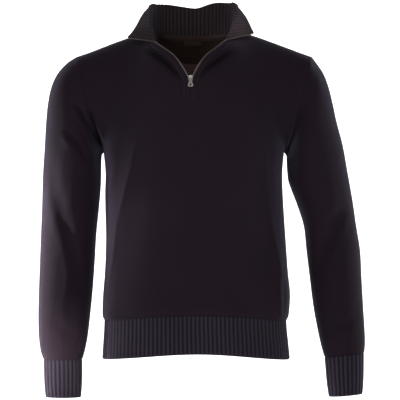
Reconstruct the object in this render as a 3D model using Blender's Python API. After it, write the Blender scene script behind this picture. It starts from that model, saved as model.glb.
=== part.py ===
"""Quarter zip sweater, filled out as it is worn: every piece is a wall of knitted cloth.

Frame: metres, +Z up, the front faces -Y, the wearer's left arm is at +X. The origin is the middle of
the neck opening at the height of the collar seam, where the wearer's neck and shoulders carry it.

Each wall is a grid of points on its outer face and the same grid moved inwards. Panels that are sewn
together share the points of their seam and are drawn back from it by half the seam gap.
"""
import math

import bmesh
import bpy
import numpy as np
from mathutils import Matrix, Vector
from mathutils.bvhtree import BVHTree

# ---------------------------------------------------------------- driving sizes, metres
KNIT = 0.0020            # thickness of the fine knit body cloth
RIB_CLOTH = 0.0022       # thickness of the ribbed cloth
SEAM_GAP = 0.0003        # pieces lie this far apart where they are sewn
ARMHOLE_GAP = 0.0004     # a little wider where the seam folds at the underarm
LIE_GAP = 0.0004         # a piece that lies on a panel keeps this gap to it
RIB_PITCH = 0.0086       # one rib and its groove
RIB_RISE = 0.0011        # how far a rib stands over its groove

UNDERARM = -0.232        # height where front, back and sleeve meet
BODY_END = -0.5785       # height where the body is joined to the hem rib, at the sides
BODY_END_RISE = 0.0140   # the join is higher than that at the centre front
HEM_END = -0.6580        # lower edge of the hem rib, at the sides
HEM_END_RISE = 0.0125
ROLL = 0.14              # half length of the collar's roll, as a share of its height

CHAIN_WIDTH = 0.0030     # one side of the zip's chain of teeth
TAPE_WIDTH = 0.0085
TAPE = 0.0010
BAND_WIDTH = 0.0110      # raised facing beside the zip
BAND = 0.0012
BAND_INSET = 0.0016      # the facing starts this far from the cloth's edge
CHAIN_CLEAR = 0.0004     # between the teeth's bead and the cloth's edge
CORNER_CLEAR = 0.0020    # the same where the bead turns from the front to the collar
CHAIN_SINK = 0.0007      # depth of the bead's middle below the front's outer face
BAND_GAP = 0.0008        # the facing over the front, and the tape behind it
TAPE_GAP = 0.0008
TAPE_OVER = 0.0026       # the tape reaches this far under the teeth
BAND_END = 0.0055        # and from the neck seam
BAND_STEPS = 14
BAND_SHORT = 0.15        # they end this share of a column short of the neck seam
NECK_TAPE = 0.0090       # depth of the tape over the back neck seam
TAPE_TOP = 0.0022        # it starts this far below the seam
TAPE_HALF = 0.0560       # half its width
NECK_LIFT = 0.0006
MOON = 0.0010            # half-moon on the inside of the back: thickness, half width, drop
MOON_HALF = 0.0600
MOON_DROP = 0.0460
MOON_TOP = 0.0120
LABEL = (0.0360, 0.0090, 0.0006)     # blank label: width, height, thickness
LABEL_TOP = 0.0150

SLIDER = (0.0088, 0.0110, 0.0011)   # width, height, thickness of a plate
SLIDER_UP = -0.0005      # the slider's middle above the point where the chains part
PLATE_FACE = 0.0020      # the front plate's underside stands this far over the front
PLATE_BACK = 0.0052      # the back plate's face lies this far behind the front's outer face
PIVOT_FACE = 0.0056      # the pull's bar stands this far over the front
PIVOT_UP = -0.0026
BAR = 0.0006             # radii of the bar and of the tab's eye
EYE = 0.0015
EYE_WIDTH = 0.0034
EYE_PLAY = 0.0003        # clearance of the eye round the bar and beside the lugs
LUG = 0.0010             # thickness and height of the two lugs that hold the bar
LUG_HEIGHT = 0.0034
TAB_PLATE = 0.0013
TAB_HOLE = 0.0022
TAB_HOLE_DROP = -0.0118
TAB_OUTLINE = ((0.0006, 0.0017), (0.0040, 0.0019), (0.0070, 0.0032), (0.0100, 0.0050),
               (0.0130, 0.0056), (0.0148, 0.0050), (0.0157, 0.0034))   # drop below the bar, half width

LOWER_ROWS = 9           # rows of faces between the hem rib and the underarm
BLOUSE_SHARE = 0.964     # the last of them starts here, where the body blouses over the rib
UPPER_ROWS = 10          # rows of faces between the underarm and the shoulder
SHOULDER_STEPS = 6       # columns of faces along one shoulder seam
EASE_STEPS = 10          # rounds of evening out the chest and the back
NECK_STEPS = 6           # columns along half of the front or back neck seam
SLIT_STEPS = 8           # columns along one edge of the zip opening
COLLAR_INSET = 0.0015    # the collar's ends stand this far back from the edge of the front
COLLAR_LIFT = 0.0006     # and their lower edge lies this much higher, where it is turned flat
HEM_ROWS = 2
CUFF_ROWS = 2
CUFF_STEP = 0.0008       # the cuff is drawn in by this much where the sleeve joins it

# ---------------------------------------------------------------- shape tables
# height, right side, left side, front, back, squareness of the body's ring
TORSO = (
    (-0.6600, -0.1925, 0.1970, -0.1180, 0.1150, 3.0),
    (-0.6200, -0.1900, 0.1930, -0.1180, 0.1150, 3.0),
    (-0.5950, -0.1885, 0.1905, -0.1180, 0.1150, 3.0),
    (-0.5785, -0.1885, 0.1905, -0.1185, 0.1150, 3.0),
    (-0.5660, -0.1920, 0.1950, -0.1225, 0.1185, 2.9),
    (-0.5550, -0.1925, 0.1960, -0.1230, 0.1190, 2.9),
    (-0.5300, -0.1910, 0.1975, -0.1220, 0.1175, 2.8),
    (-0.4800, -0.1870, 0.1930, -0.1215, 0.1130, 2.7),
    (-0.4300, -0.1850, 0.1895, -0.1215, 0.1080, 2.6),
    (-0.3800, -0.1850, 0.1860, -0.1230, 0.1070, 2.6),
    (-0.3300, -0.1870, 0.1830, -0.1260, 0.1110, 2.6),
    (-0.2800, -0.1855, 0.1810, -0.1285, 0.1180, 2.6),
    (-0.2320, -0.1900, 0.1850, -0.1280, 0.1230, 2.6),
)
# The seams of the yoke, as points from the shoulder point in to the neck and on to the zip.
SHOULDER_SEAM = {
    -1: ((-0.2454, 0.008, -0.0315), (-0.2100, 0.010, -0.0190), (-0.1780, 0.012, -0.0060),
         (-0.1480, 0.014, 0.0050), (-0.1130, 0.016, 0.0170), (-0.0840, 0.018, 0.0265)),
    1: ((0.2425, 0.008, -0.0315), (0.2080, 0.010, -0.0190), (0.1740, 0.012, -0.0060),
        (0.1430, 0.014, 0.0055), (0.1080, 0.016, 0.0175), (0.0800, 0.018, 0.0275)),
}
FRONT_NECK = {
    -1: ((-0.0840, 0.018, 0.0265), (-0.0880, -0.008, 0.0190), (-0.0875, -0.040, 0.0060),
         (-0.0790, -0.072, -0.0092)),
    1: ((0.0800, 0.018, 0.0275), (0.0810, -0.008, 0.0200), (0.0750, -0.042, 0.0080),
        (0.0595, -0.072, -0.0060)),
}
BACK_NECK = {
    -1: ((-0.0840, 0.018, 0.0265), (-0.0760, 0.044, 0.0165), (-0.0520, 0.066, 0.0105),
         (0.0, 0.078, 0.0090)),
    1: ((0.0800, 0.018, 0.0275), (0.0720, 0.044, 0.0170), (0.0490, 0.066, 0.0105),
        (0.0, 0.078, 0.0090)),
}
ZIP_EDGE = {   # edge of the front beside the zip, from the neck seam down to the end of the zip
    -1: ((-0.0790, -0.072, -0.0092), (-0.0632, -0.084, -0.0212), (-0.0504, -0.094, -0.0302),
         (-0.0394, -0.102, -0.0404), (-0.0292, -0.108, -0.0553), (-0.0190, -0.1135, -0.0720),
         (-0.0128, -0.1160, -0.0830), (-0.0124, -0.1190, -0.1020), (-0.0124, -0.1215, -0.1222)),
    1: ((0.0595, -0.072, -0.0060), (0.0502, -0.080, -0.0152), (0.0372, -0.090, -0.0246),
        (0.0270, -0.097, -0.0324), (0.0180, -0.103, -0.0416), (0.0060, -0.109, -0.0610),
        (-0.0048, -0.1160, -0.0830), (-0.0052, -0.1190, -0.1020), (-0.0052, -0.1215, -0.1222)),
}
# The run of a panel's columns where they leave the underarm's ring and where they reach the top edge:
# place along the top edge (0 end of the zip, 1 neck seam at the zip or the centre back, 2 neck at the
# shoulder seam, 3 shoulder point), then the run to the side, to the back and up.
FRONT_LEAVE = (
    (0.0, 0.00, 0.000, 0.100), (0.5, 0.00, 0.000, 0.160), (1.0, 0.00, -0.010, 0.220),
    (2.0, 0.00, -0.040, 0.250), (2.5, 0.00, -0.050, 0.220), (2.85, 0.02, -0.120, 0.150),
    (3.0, 0.05, -0.250, 0.050),
)
FRONT_REACH = (
    (0.0, 0.000, 0.008, 0.100), (0.3, -0.080, 0.020, 0.080), (0.5, -0.070, 0.050, 0.090),
    (1.0, -0.040, 0.120, 0.110),
    (1.5, -0.060, 0.140, 0.075), (2.0, -0.055, 0.185, 0.040), (2.5, -0.020, 0.210, 0.035),
    (3.0, 0.020, 0.260, 0.060),
)
BACK_LEAVE = (
    (1.0, 0.00, 0.020, 0.240), (2.0, 0.00, 0.040, 0.240), (2.5, 0.00, 0.050, 0.220),
    (2.85, 0.02, 0.130, 0.150), (3.0, 0.05, 0.270, 0.050),
)
BACK_REACH = (
    (1.0, 0.000, -0.110, 0.150), (1.5, -0.040, -0.140, 0.090), (2.0, -0.070, -0.170, 0.045),
    (2.5, -0.010, -0.200, 0.035), (3.0, 0.020, -0.280, 0.060),
)
# Rings of the sleeves: outer edge x and z, inner edge x and z, middle y, half depth.
# The first ring is the armhole, the last one is where the cuff is joined.
SLEEVE = {
    -1: (
        (-0.2454, -0.0315, -0.1900, -0.2320, 0.004, 0.064),
        (-0.2680, -0.0470, -0.1935, -0.2370, 0.003, 0.066),
        (-0.2868, -0.0690, -0.1942, -0.2430, 0.002, 0.068),
        (-0.2990, -0.0960, -0.1946, -0.2500, 0.001, 0.068),
        (-0.3060, -0.1310, -0.1948, -0.2590, 0.000, 0.067),
        (-0.3100, -0.1730, -0.1950, -0.2700, 0.000, 0.066),
        (-0.3125, -0.2190, -0.1952, -0.2860, 0.000, 0.064),
        (-0.3165, -0.2800, -0.1965, -0.3120, 0.002, 0.061),
        (-0.3182, -0.3400, -0.2000, -0.3500, 0.003, 0.057),
        (-0.3204, -0.3980, -0.2048, -0.3980, 0.002, 0.053),
        (-0.3224, -0.4600, -0.2084, -0.4600, -0.003, 0.049),
        (-0.3240, -0.5180, -0.2122, -0.5180, -0.010, 0.046),
        (-0.3245, -0.5720, -0.2172, -0.5720, -0.018, 0.043),
        (-0.3228, -0.6180, -0.2220, -0.6180, -0.025, 0.039),
        (-0.3190, -0.6470, -0.2272, -0.6470, -0.030, 0.034),
        (-0.3135, -0.6640, -0.2318, -0.6640, -0.032, 0.030),
    ),
    1: (
        (0.2425, -0.0315, 0.1850, -0.2320, 0.004, 0.064),
        (0.2535, -0.0465, 0.1898, -0.2385, 0.003, 0.066),
        (0.2670, -0.0670, 0.1902, -0.2460, 0.002, 0.068),
        (0.2775, -0.0940, 0.1906, -0.2550, 0.001, 0.068),
        (0.2862, -0.1290, 0.1910, -0.2640, 0.000, 0.067),
        (0.2948, -0.1690, 0.1920, -0.2750, 0.000, 0.066),
        (0.3078, -0.2190, 0.1940, -0.2910, 0.000, 0.064),
        (0.3175, -0.2730, 0.2020, -0.3140, 0.002, 0.061),
        (0.3278, -0.3310, 0.2132, -0.3430, 0.003, 0.057),
        (0.3356, -0.3850, 0.2262, -0.3850, 0.002, 0.053),
        (0.3432, -0.4350, 0.2315, -0.4350, -0.003, 0.049),
        (0.3455, -0.4890, 0.2378, -0.4890, -0.010, 0.046),
        (0.3480, -0.5430, 0.2440, -0.5430, -0.018, 0.043),
        (0.3505, -0.5930, 0.2520, -0.5930, -0.025, 0.039),
        (0.3515, -0.6280, 0.2595, -0.6320, -0.030, 0.034),
        (0.3500, -0.6500, 0.2665, -0.6590, -0.032, 0.030),
    ),
}
CUFF_END = {-1: (-0.3080, -0.7370, -0.2350, -0.7370, -0.038, 0.0265),
            1: (0.3455, -0.7300, 0.2760, -0.7360, -0.038, 0.0265)}
ARMHOLE_FADE = 6         # rings over which a sleeve forgets the armhole's own shape

# Large folds: part, face, start x and z, end x and z, half width, rise (+) or depth (-).
FOLDS = (
    ("body", -1, -0.123, -0.215, -0.172, -0.505, 0.016, 0.0030),
    ("body", -1, 0.140, -0.220, 0.183, -0.500, 0.016, 0.0030),
    ("body", -1, -0.095, -0.215, -0.150, -0.480, 0.022, -0.0020),
    ("body", -1, 0.112, -0.220, 0.158, -0.480, 0.022, -0.0020),
    ("body", 1, -0.120, -0.200, -0.165, -0.470, 0.018, 0.0028),
    ("body", 1, 0.118, -0.215, 0.160, -0.455, 0.018, 0.0028),
    ("body", 1, -0.060, -0.420, 0.070, -0.450, 0.018, -0.0028),
    ("sleeve", -1, -0.305, -0.250, -0.240, -0.540, 0.017, -0.0060),
    ("sleeve", -1, 0.318, -0.330, 0.252, -0.500, 0.017, -0.0065),
    ("sleeve", 1, -0.300, -0.300, -0.232, -0.470, 0.017, -0.0050),
    ("sleeve", 1, 0.312, -0.280, 0.250, -0.450, 0.017, -0.0050),
    ("sleeve", -1, -0.250, -0.120, -0.205, -0.215, 0.014, -0.0045),
    ("sleeve", 1, 0.245, -0.130, 0.205, -0.225, 0.014, -0.0040),
)
# The collar by place along its seam: 0 at the zip, 1 at the shoulder seam, 2 at the centre back, and the
# same again past it, so that the two halves meet level.
# height, share of it below the roll, the standing cloth's lean, the turned cloth's side, back, up.
COLLAR = {
    -1: (
        (0.00, 0.0750, 0.00, 0.00, 0.820, 0.580, 0.190),
        (0.50, 0.0710, 0.45, 0.03, 0.720, 0.600, -0.180),
        (1.00, 0.0680, 0.80, 0.03, 0.800, 0.150, -0.540),
        (1.33, 0.0710, 0.98, 0.01, 0.700, -0.100, -0.700),
        (1.67, 0.0700, 1.16, 0.02, 0.300, 0.300, -0.700),
        (2.00, 0.0660, 1.25, 0.02, 0.000, 0.500, -0.500),
        (2.33, 0.0700, 1.16, 0.02, 0.300, 0.300, -0.700),
    ),
    1: (
        (0.00, 0.0750, 0.00, 0.00, 0.860, 0.520, 0.270),
        (0.50, 0.0725, 0.45, 0.02, 0.740, 0.600, -0.100),
        (1.00, 0.0705, 0.80, -0.02, 0.720, 0.150, -0.600),
        (1.33, 0.0735, 0.98, -0.02, 0.700, -0.100, -0.700),
        (1.67, 0.0755, 1.16, 0.02, 0.300, 0.300, -0.700),
        (2.00, 0.0660, 1.25, 0.02, 0.000, 0.500, -0.500),
        (2.33, 0.0755, 1.16, 0.02, 0.300, 0.300, -0.700),
    ),
}


# ---------------------------------------------------------------- numbers
def smooth(rows, at):
    """Columns of a table at the stations: a cubic whose slope at a row comes from its neighbours."""
    rows = np.asarray(rows, float)
    at = np.clip(np.asarray(at, float), rows[0, 0], rows[-1, 0])
    station, value = rows[:, 0], rows[:, 1:]
    slope = np.gradient(value, station, axis=0)
    i = np.clip(np.searchsorted(station, at, side="right") - 1, 0, len(station) - 2)
    h = (station[i + 1] - station[i])[..., None]
    s = (at - station[i])[..., None] / h
    return ((1 + 2 * s) * (1 - s) ** 2 * value[i] + s * (1 - s) ** 2 * h * slope[i]
            + s * s * (3 - 2 * s) * value[i + 1] + s * s * (s - 1) * h * slope[i + 1])


def unit(vectors):
    """Vectors of length one."""
    return vectors / np.maximum(np.linalg.norm(vectors, axis=-1, keepdims=True), 1e-12)


def spaced(points, steps):
    """A smooth curve through points, cut into equal steps along its length."""
    points = np.asarray(points, float)
    knot = np.concatenate(([0.0], np.cumsum(np.linalg.norm(np.diff(points, axis=0), axis=1))))
    fine = smooth(np.column_stack((knot, points)), np.linspace(0.0, knot[-1], 400))
    run = np.concatenate(([0.0], np.cumsum(np.linalg.norm(np.diff(fine, axis=0), axis=1))))
    at = np.linspace(0.0, run[-1], steps + 1)
    return np.column_stack([np.interp(at, run, fine[:, k]) for k in range(3)])


def grid_normals(grid, closed=False):
    """Unit normals of a grid of points: the cross product of its two central differences."""
    down = np.gradient(grid, axis=0)
    if closed:
        across = np.roll(grid, -1, axis=1) - np.roll(grid, 1, axis=1)
    else:
        across = np.gradient(grid, axis=1)
    return unit(np.cross(across, down))


def folds(grid, normals, part):
    """How far soft ridges and troughs move the points along their normals, each fading to its ends."""
    moved = np.zeros_like(grid)
    for name, face, x0, z0, x1, z1, half_width, rise in FOLDS:
        if name != part:
            continue
        start = np.array((x0, z0))
        run = np.array((x1, z1)) - start
        flat = grid[..., (0, 2)] - start
        share = np.clip(flat @ run / (run @ run), 0.0, 1.0)
        gap = np.linalg.norm(flat - share[..., None] * run, axis=-1)
        facing = np.clip(face * normals[..., 1] * 1.6, 0.0, 1.0)
        lift = rise * np.exp(-(gap / half_width) ** 2) * np.sin(np.pi * share) ** 0.7 * facing
        moved += lift[..., None] * normals
    return moved


# ---------------------------------------------------------------- walls
def wall_mesh(outer, inner, closed):
    """A closed wall between two grids of points: both faces and the rims between them."""
    rows, cols = outer.shape[:2]
    number = np.arange(rows * cols).reshape(rows, cols)
    if closed:
        number = np.column_stack((number, number[:, :1]))
    a, b, c, d = number[:-1, :-1], number[:-1, 1:], number[1:, 1:], number[1:, :-1]
    face = np.stack((a, b, c, d), axis=-1).reshape(-1, 4)
    under = rows * cols
    edges = [number[0, ::-1], number[-1]]
    if not closed:
        edges += [number[:, 0], number[::-1, -1]]
    rims = [np.stack((e[:-1], e[1:], e[1:] + under, e[:-1] + under), -1) for e in edges]
    faces = np.concatenate([face, face[:, ::-1] + under] + rims)
    points = np.concatenate((outer.reshape(-1, 3), inner.reshape(-1, 3)))
    return points, faces


def add_mesh(name, points, faces, material, sharp_angle=50):
    """A named object in the sweater's collection, its faces pointing out."""
    mesh = bpy.data.meshes.new(name)
    mesh.from_pydata([tuple(p) for p in points], [], [tuple(int(i) for i in f) for f in faces])
    work = bmesh.new()
    work.from_mesh(mesh)
    bmesh.ops.recalc_face_normals(work, faces=work.faces)
    work.to_mesh(mesh)
    work.free()
    mesh.shade_smooth()
    mesh.set_sharp_from_angle(angle=math.radians(sharp_angle))
    mesh.materials.append(material)
    obj = bpy.data.objects.new(name, mesh)
    SWEATER.objects.link(obj)
    return obj


def add_wall(name, outer, inward, thickness, material, closed=False):
    """A wall from its outer points and the directions in which it is thick."""
    points, faces = wall_mesh(outer, outer + thickness * inward, closed)
    return add_mesh(name, points, faces, material)


def seam_rim(seam, into_a, into_b, normal_a, normal_b):
    """Outward directions that both pieces share round a closed seam, also where it is a deep fold.

    They lie in the plane that halves the angle between the pieces: square to the seam and to the
    direction from one piece to the other.
    """
    run = unit(np.roll(seam, -1, axis=0) - np.roll(seam, 1, axis=0))
    into_a, into_b = (unit(d - np.sum(d * run, axis=-1, keepdims=True) * run) for d in (into_a, into_b))
    between = unit(into_a - into_b + normal_b - normal_a)
    out = unit(np.cross(run, between))
    out *= np.sign(np.sum(out * (normal_a + normal_b + into_a + into_b), axis=-1, keepdims=True))
    return unit(2 * out + np.roll(out, 1, axis=0) + np.roll(out, -1, axis=0)), between


def draw_back(grid, edge, gap=SEAM_GAP / 2):
    """Draw one edge of a grid back from its seam, along the grid's own lines."""
    first, second = {"top": ((0, ...), (1, ...)), "bottom": ((-1, ...), (-2, ...)),
                     "first": ((slice(None), 0), (slice(None), 1)),
                     "last": ((slice(None), -1), (slice(None), -2))}[edge]
    grid[first] += gap * unit(grid[second] - grid[first])


def material(name, colour, roughness, metallic=0.0):
    """A plain finish for one kind of piece."""
    made = bpy.data.materials.new(name)
    made.use_nodes = True
    shader = made.node_tree.nodes["Principled BSDF"]
    shader.inputs["Base Color"].default_value = (*colour, 1.0)
    shader.inputs["Roughness"].default_value = roughness
    shader.inputs["Metallic"].default_value = metallic
    return made


# ---------------------------------------------------------------- body
def half_ring(height, face, share):
    """Points of the body's ring at one height: share -1 right side seam, 0 middle, 1 left side seam."""
    right, left, front, back, square = smooth(TORSO, height)
    turn = np.linspace(0.0, np.pi, 721)
    across = -np.sign(np.cos(turn)) * np.abs(np.cos(turn)) ** (2 / square)
    x = (right + left) / 2 + (left - right) / 2 * across
    y = (front if face < 0 else back) * np.abs(np.sin(turn)) ** (2 / square)
    run = np.concatenate(([0.0], np.cumsum(np.hypot(np.diff(x), np.diff(y)))))
    at = (np.asarray(share) + 1) / 2 * run[-1]
    return np.column_stack((np.interp(at, run, x), np.interp(at, run, y), np.full(len(at), height)))


def ring_end(x, face, side_height, rise):
    """Height of the body's lower seam: the front is cut a little shorter in the middle."""
    if face > 0:
        return np.full_like(x, side_height)
    return side_height + rise * np.clip(1 - (x / 0.19) ** 2, 0, 1)


def top_edge(face):
    """The top edge of a panel from the right shoulder point to the left one, with each point's place."""
    halves = []
    for side in (-1, 1):
        runs = [(spaced(SHOULDER_SEAM[side], SHOULDER_STEPS), 3.0, 2.0)]
        if face < 0:
            runs.append((spaced(FRONT_NECK[side], NECK_STEPS), 2.0, 1.0))
            runs.append((spaced(ZIP_EDGE[side], SLIT_STEPS), 1.0, 0.0))
        else:
            runs.append((spaced(BACK_NECK[side], NECK_STEPS), 2.0, 1.0))
        points = np.concatenate([r[0] if k == 0 else r[0][1:] for k, r in enumerate(runs)])
        place = np.concatenate([np.linspace(r[1], r[2], len(r[0]))[0 if k == 0 else 1:]
                                for k, r in enumerate(runs)])
        halves.append((points, place))
    (right, right_place), (left, left_place) = halves
    skip = 0 if face < 0 else 1
    points = np.concatenate((right, left[::-1][skip:]))
    place = np.concatenate((right_place, left_place[::-1][skip:]))
    side = np.concatenate((np.full(len(right), -1.0), np.full(len(left) - skip, 1.0)))
    return points, place, side


def eased(rows, place):
    """Even out a panel across its columns between the neck or shoulder and the underarm."""
    fade = np.sin(np.linspace(0.0, np.pi, len(rows)))[:, None, None] ** 0.5
    fade = fade * np.clip(2 * place[1:-1] - 1, 0, 1)[:, None]
    for _ in range(EASE_STEPS):
        rows[:, 1:-1] += 0.25 * fade * (rows[:, :-2] - 2 * rows[:, 1:-1] + rows[:, 2:])
    return rows


def panel_grid(face):
    """Outer points of the front or back: rows from the top edge down to the hem, columns right to left."""
    top, place, side = top_edge(face)
    run = np.concatenate(([0.0], np.cumsum(np.linalg.norm(np.diff(top, axis=0), axis=1))))
    share = 2 * run / run[-1] - 1
    base = half_ring(UNDERARM, face, share)
    leave = smooth(FRONT_LEAVE if face < 0 else BACK_LEAVE, place)
    reach = smooth(FRONT_REACH if face < 0 else BACK_REACH, place)
    leave[:, 0] *= side
    reach[:, 0] *= side
    t = np.linspace(1.0, 0.0, UPPER_ROWS + 1)[:, None, None]
    upper = ((1 + 2 * t) * (1 - t) ** 2 * base + t * (1 - t) ** 2 * leave
             + t * t * (3 - 2 * t) * top + t * t * (t - 1) * reach)
    lower = []
    for step in np.append(np.linspace(0.0, BLOUSE_SHARE, LOWER_ROWS)[1:], 1.0):
        row = half_ring(UNDERARM + (BODY_END - UNDERARM) * step, face, share)
        end = ring_end(row[:, 0], face, BODY_END, BODY_END_RISE)
        row[:, 2] = UNDERARM + (end - UNDERARM) * step
        lower.append(row)
    return np.concatenate((eased(upper, place), np.array(lower))), place


# ---------------------------------------------------------------- sleeves and cuffs
def sleeve_ring(row, turn):
    """An ellipse in the plane of a ring's outer edge, inner edge and depth; turn 0 is the outer edge."""
    outer = np.array((row[0], row[4], row[1]))
    inner = np.array((row[2], row[4], row[3]))
    middle = (outer + inner) / 2
    depth = np.array((0.0, row[5], 0.0))
    return middle + np.cos(turn)[:, None] * (outer - middle) + np.sin(turn)[:, None] * depth


def sleeve_grid(side, armhole):
    """Outer points of a sleeve: rows from the armhole to the cuff, columns round from the underarm."""
    turn = np.linspace(np.pi, 3 * np.pi, 2 * UPPER_ROWS + 1)[:-1]
    rows = np.array([sleeve_ring(row, turn) for row in SLEEVE[side]])
    extra = armhole - rows[0]
    fade = np.clip(1 - np.arange(len(rows)) / ARMHOLE_FADE, 0, 1) ** 1.5
    return rows + fade[:, None, None] * extra


def outward(grid, normals):
    """Normals of a tube, turned to point away from the middle of its rows."""
    middle = grid.mean(axis=1, keepdims=True)
    return normals * np.sign(np.sum((grid - middle) * normals))


def build_cuff(side, name, finish):
    """A ribbed cuff: every other column stands proud outside, and the inside is plain."""
    start = np.array(SLEEVE[side][-1]) + np.array((0, -SEAM_GAP, 0, -SEAM_GAP, 0, -CUFF_STEP))
    start[0] -= side * CUFF_STEP
    start[2] += side * CUFF_STEP
    end = np.array(CUFF_END[side])
    around = np.linspace(0, 2 * np.pi, 721)
    fine = sleeve_ring((start + end) / 2, around)
    run = np.concatenate(([0.0], np.cumsum(np.linalg.norm(np.diff(fine, axis=0), axis=1))))
    ribs = round(run[-1] / RIB_PITCH)
    turn = np.interp(np.linspace(0, run[-1], 2 * ribs + 1)[:-1], run, around)
    rows = np.array([sleeve_ring(start + (end - start) * s, turn) for s in np.linspace(0, 1, CUFF_ROWS + 1)])
    normals = outward(rows, grid_normals(rows, closed=True))
    proud = np.where(np.arange(2 * ribs) % 2 == 0, 0.0, -RIB_RISE)[None, :, None]
    points, faces = wall_mesh(rows + proud * normals, rows - RIB_CLOTH * normals, closed=True)
    return add_mesh(name, points, faces, finish, sharp_angle=75)


# ---------------------------------------------------------------- collar
def neck_line(front, back):
    """The neck seam through the panels' own points: right zip edge, round the back, left zip edge."""
    last = front.shape[1] - 1
    right = front[0, SHOULDER_STEPS + NECK_STEPS:SHOULDER_STEPS - 1:-1]
    behind = back[0, SHOULDER_STEPS:SHOULDER_STEPS + 2 * NECK_STEPS + 1]
    left = front[0, last - SHOULDER_STEPS:last - SHOULDER_STEPS - NECK_STEPS - 1:-1]
    points = np.concatenate((right, behind[1:], left[1:]))
    return points, np.arange(len(points)) / NECK_STEPS


def away_from_neck(points):
    """Level unit directions square to the neck seam, pointing away from the neck."""
    run = np.gradient(points, axis=0)
    return unit(np.column_stack((-run[:, 1], run[:, 0], np.zeros(len(run)))))


def turned_length(past):
    """Length of cloth beyond the roll, in a smooth ramp where the cloth rolls over."""
    ramp = (past + ROLL) ** 2 / (4 * ROLL)
    return np.where(past > ROLL, past, np.where(past < -ROLL, 0.0, ramp))


def collar_grid(front, back):
    """Points of the collar's outer face before its ribs, and the directions away from the neck there."""
    points, place = neck_line(front, back)
    run = np.concatenate(([0.0], np.cumsum(np.linalg.norm(np.diff(points, axis=0), axis=1))))
    away = away_from_neck(points)
    columns = 2 * round(run[-1] / RIB_PITCH) + 1
    at = np.linspace(COLLAR_INSET, run[-1] - COLLAR_INSET, columns)
    seam = np.column_stack([np.interp(at, run, points[:, k]) for k in range(3)])
    away = unit(np.column_stack([np.interp(at, run, away[:, k]) for k in range(3)]))
    column_place = np.interp(at, run, place)
    side = np.where(column_place < 2, -1.0, 1.0)
    mirrored = 2 - np.abs(column_place - 2)
    table = np.where(side[:, None] < 0, smooth(COLLAR[-1], mirrored), smooth(COLLAR[1], mirrored))
    height, below, lean, turned = table[:, 0], table[:, 1], table[:, 2], table[:, 3:6].copy()
    turned[:, 0] *= side
    turned = unit(turned)
    up = unit(np.array((0.0, 0.0, 1.0)) + lean[:, None] * away)
    start, end = np.clip(below - ROLL, 0.06, 0.78), np.clip(below + ROLL, 0.18, 0.92)
    v = np.concatenate((start * np.linspace(0, 1, 3)[:, None],
                        start + (end - start) * np.linspace(0, 1, 4)[1:, None],
                        end + (1 - end) * np.linspace(0, 1, 3)[1:, None]))
    over = turned_length(v - below) - turned_length(-below) * (1 - v)
    grid = seam + (height * (v - over))[..., None] * up + (height * over)[..., None] * turned
    return grid, away


# ---------------------------------------------------------------- pieces that lie beside the zip
def face_tree(grid):
    """The faces of a grid of points, for finding places on them."""
    number = np.arange(grid.shape[0] * grid.shape[1]).reshape(grid.shape[:2])
    quads = np.stack((number[:-1, :-1], number[:-1, 1:], number[1:, 1:], number[1:, :-1]), -1)
    return BVHTree.FromPolygons([Vector(p) for p in grid.reshape(-1, 3)], quads.reshape(-1, 4).tolist())


def place_on(tree, points):
    """The nearest places on a panel's faces."""
    found = [tree.find_nearest(Vector(p))[0] for p in points.reshape(-1, 3)]
    return np.array([tuple(p) for p in found]).reshape(points.shape)


def add_laid(name, points, normals, lift, thickness, finish):
    """A thin piece that lies on a panel: the panel's points moved out by the gap, then the thickness."""
    return add_wall(name, points + (lift + thickness) * normals, -normals, thickness, finish)


def add_chain(name, points, finish):
    """One side of the zip's teeth as a round bead along the edge that holds it."""
    line = bpy.data.curves.new(name, "CURVE")
    line.dimensions = "3D"
    line.bevel_depth = CHAIN_WIDTH / 2
    line.bevel_resolution = 1
    line.use_fill_caps = True
    spline = line.splines.new("POLY")
    spline.points.add(len(points) - 1)
    for knot, place in zip(spline.points, points):
        knot.co = (*place, 1.0)
    line.materials.append(finish)
    obj = bpy.data.objects.new(name, line)
    SWEATER.objects.link(obj)
    return obj


def chain_line(edge, inside, normals, depth):
    """Middle line of the teeth beside an edge: off the edge, square to it, and down into the wall."""
    run = unit(np.gradient(edge, axis=0))
    off = unit(np.cross(run, normals))
    off *= np.sign(np.sum(off * (edge - inside)))
    return edge + (CHAIN_WIDTH / 2 + CHAIN_CLEAR) * off - depth * normals


# ---------------------------------------------------------------- slider and pull tab
def box(size, middle, bevel=0.0):
    """A mesh of a box with its edges cut back."""
    work = bmesh.new()
    bmesh.ops.create_cube(work, size=1.0, matrix=Matrix.Translation(middle) @ Matrix.Diagonal((*size, 1.0)))
    if bevel:
        bmesh.ops.bevel(work, geom=work.edges[:], offset=bevel, segments=1, affect="EDGES")
    return work


def rod(radius, length, middle, sides=12):
    """A mesh of a round bar along X."""
    work = bmesh.new()
    place = Matrix.Translation(middle) @ Matrix.Rotation(math.pi / 2, 4, "Y")
    bmesh.ops.create_cone(work, cap_ends=True, segments=sides, radius1=radius, radius2=radius,
                          depth=length, matrix=place)
    return work


def to_object(name, work, finish=None, collection=None):
    """A mesh made into an object."""
    mesh = bpy.data.meshes.new(name)
    work.to_mesh(mesh)
    work.free()
    if finish:
        mesh.materials.append(finish)
    obj = bpy.data.objects.new(name, mesh)
    (collection or SWEATER).objects.link(obj)
    return obj


def combine(obj, name, work, operation):
    """Join another mesh to an object, or cut it out, with a Boolean."""
    other = to_object(name, work, collection=CUTTERS)
    other.hide_render = True
    other.display_type = "WIRE"
    other.parent = obj
    modifier = obj.modifiers.new(name, "BOOLEAN")
    modifier.operation = operation
    modifier.object = other


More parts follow.
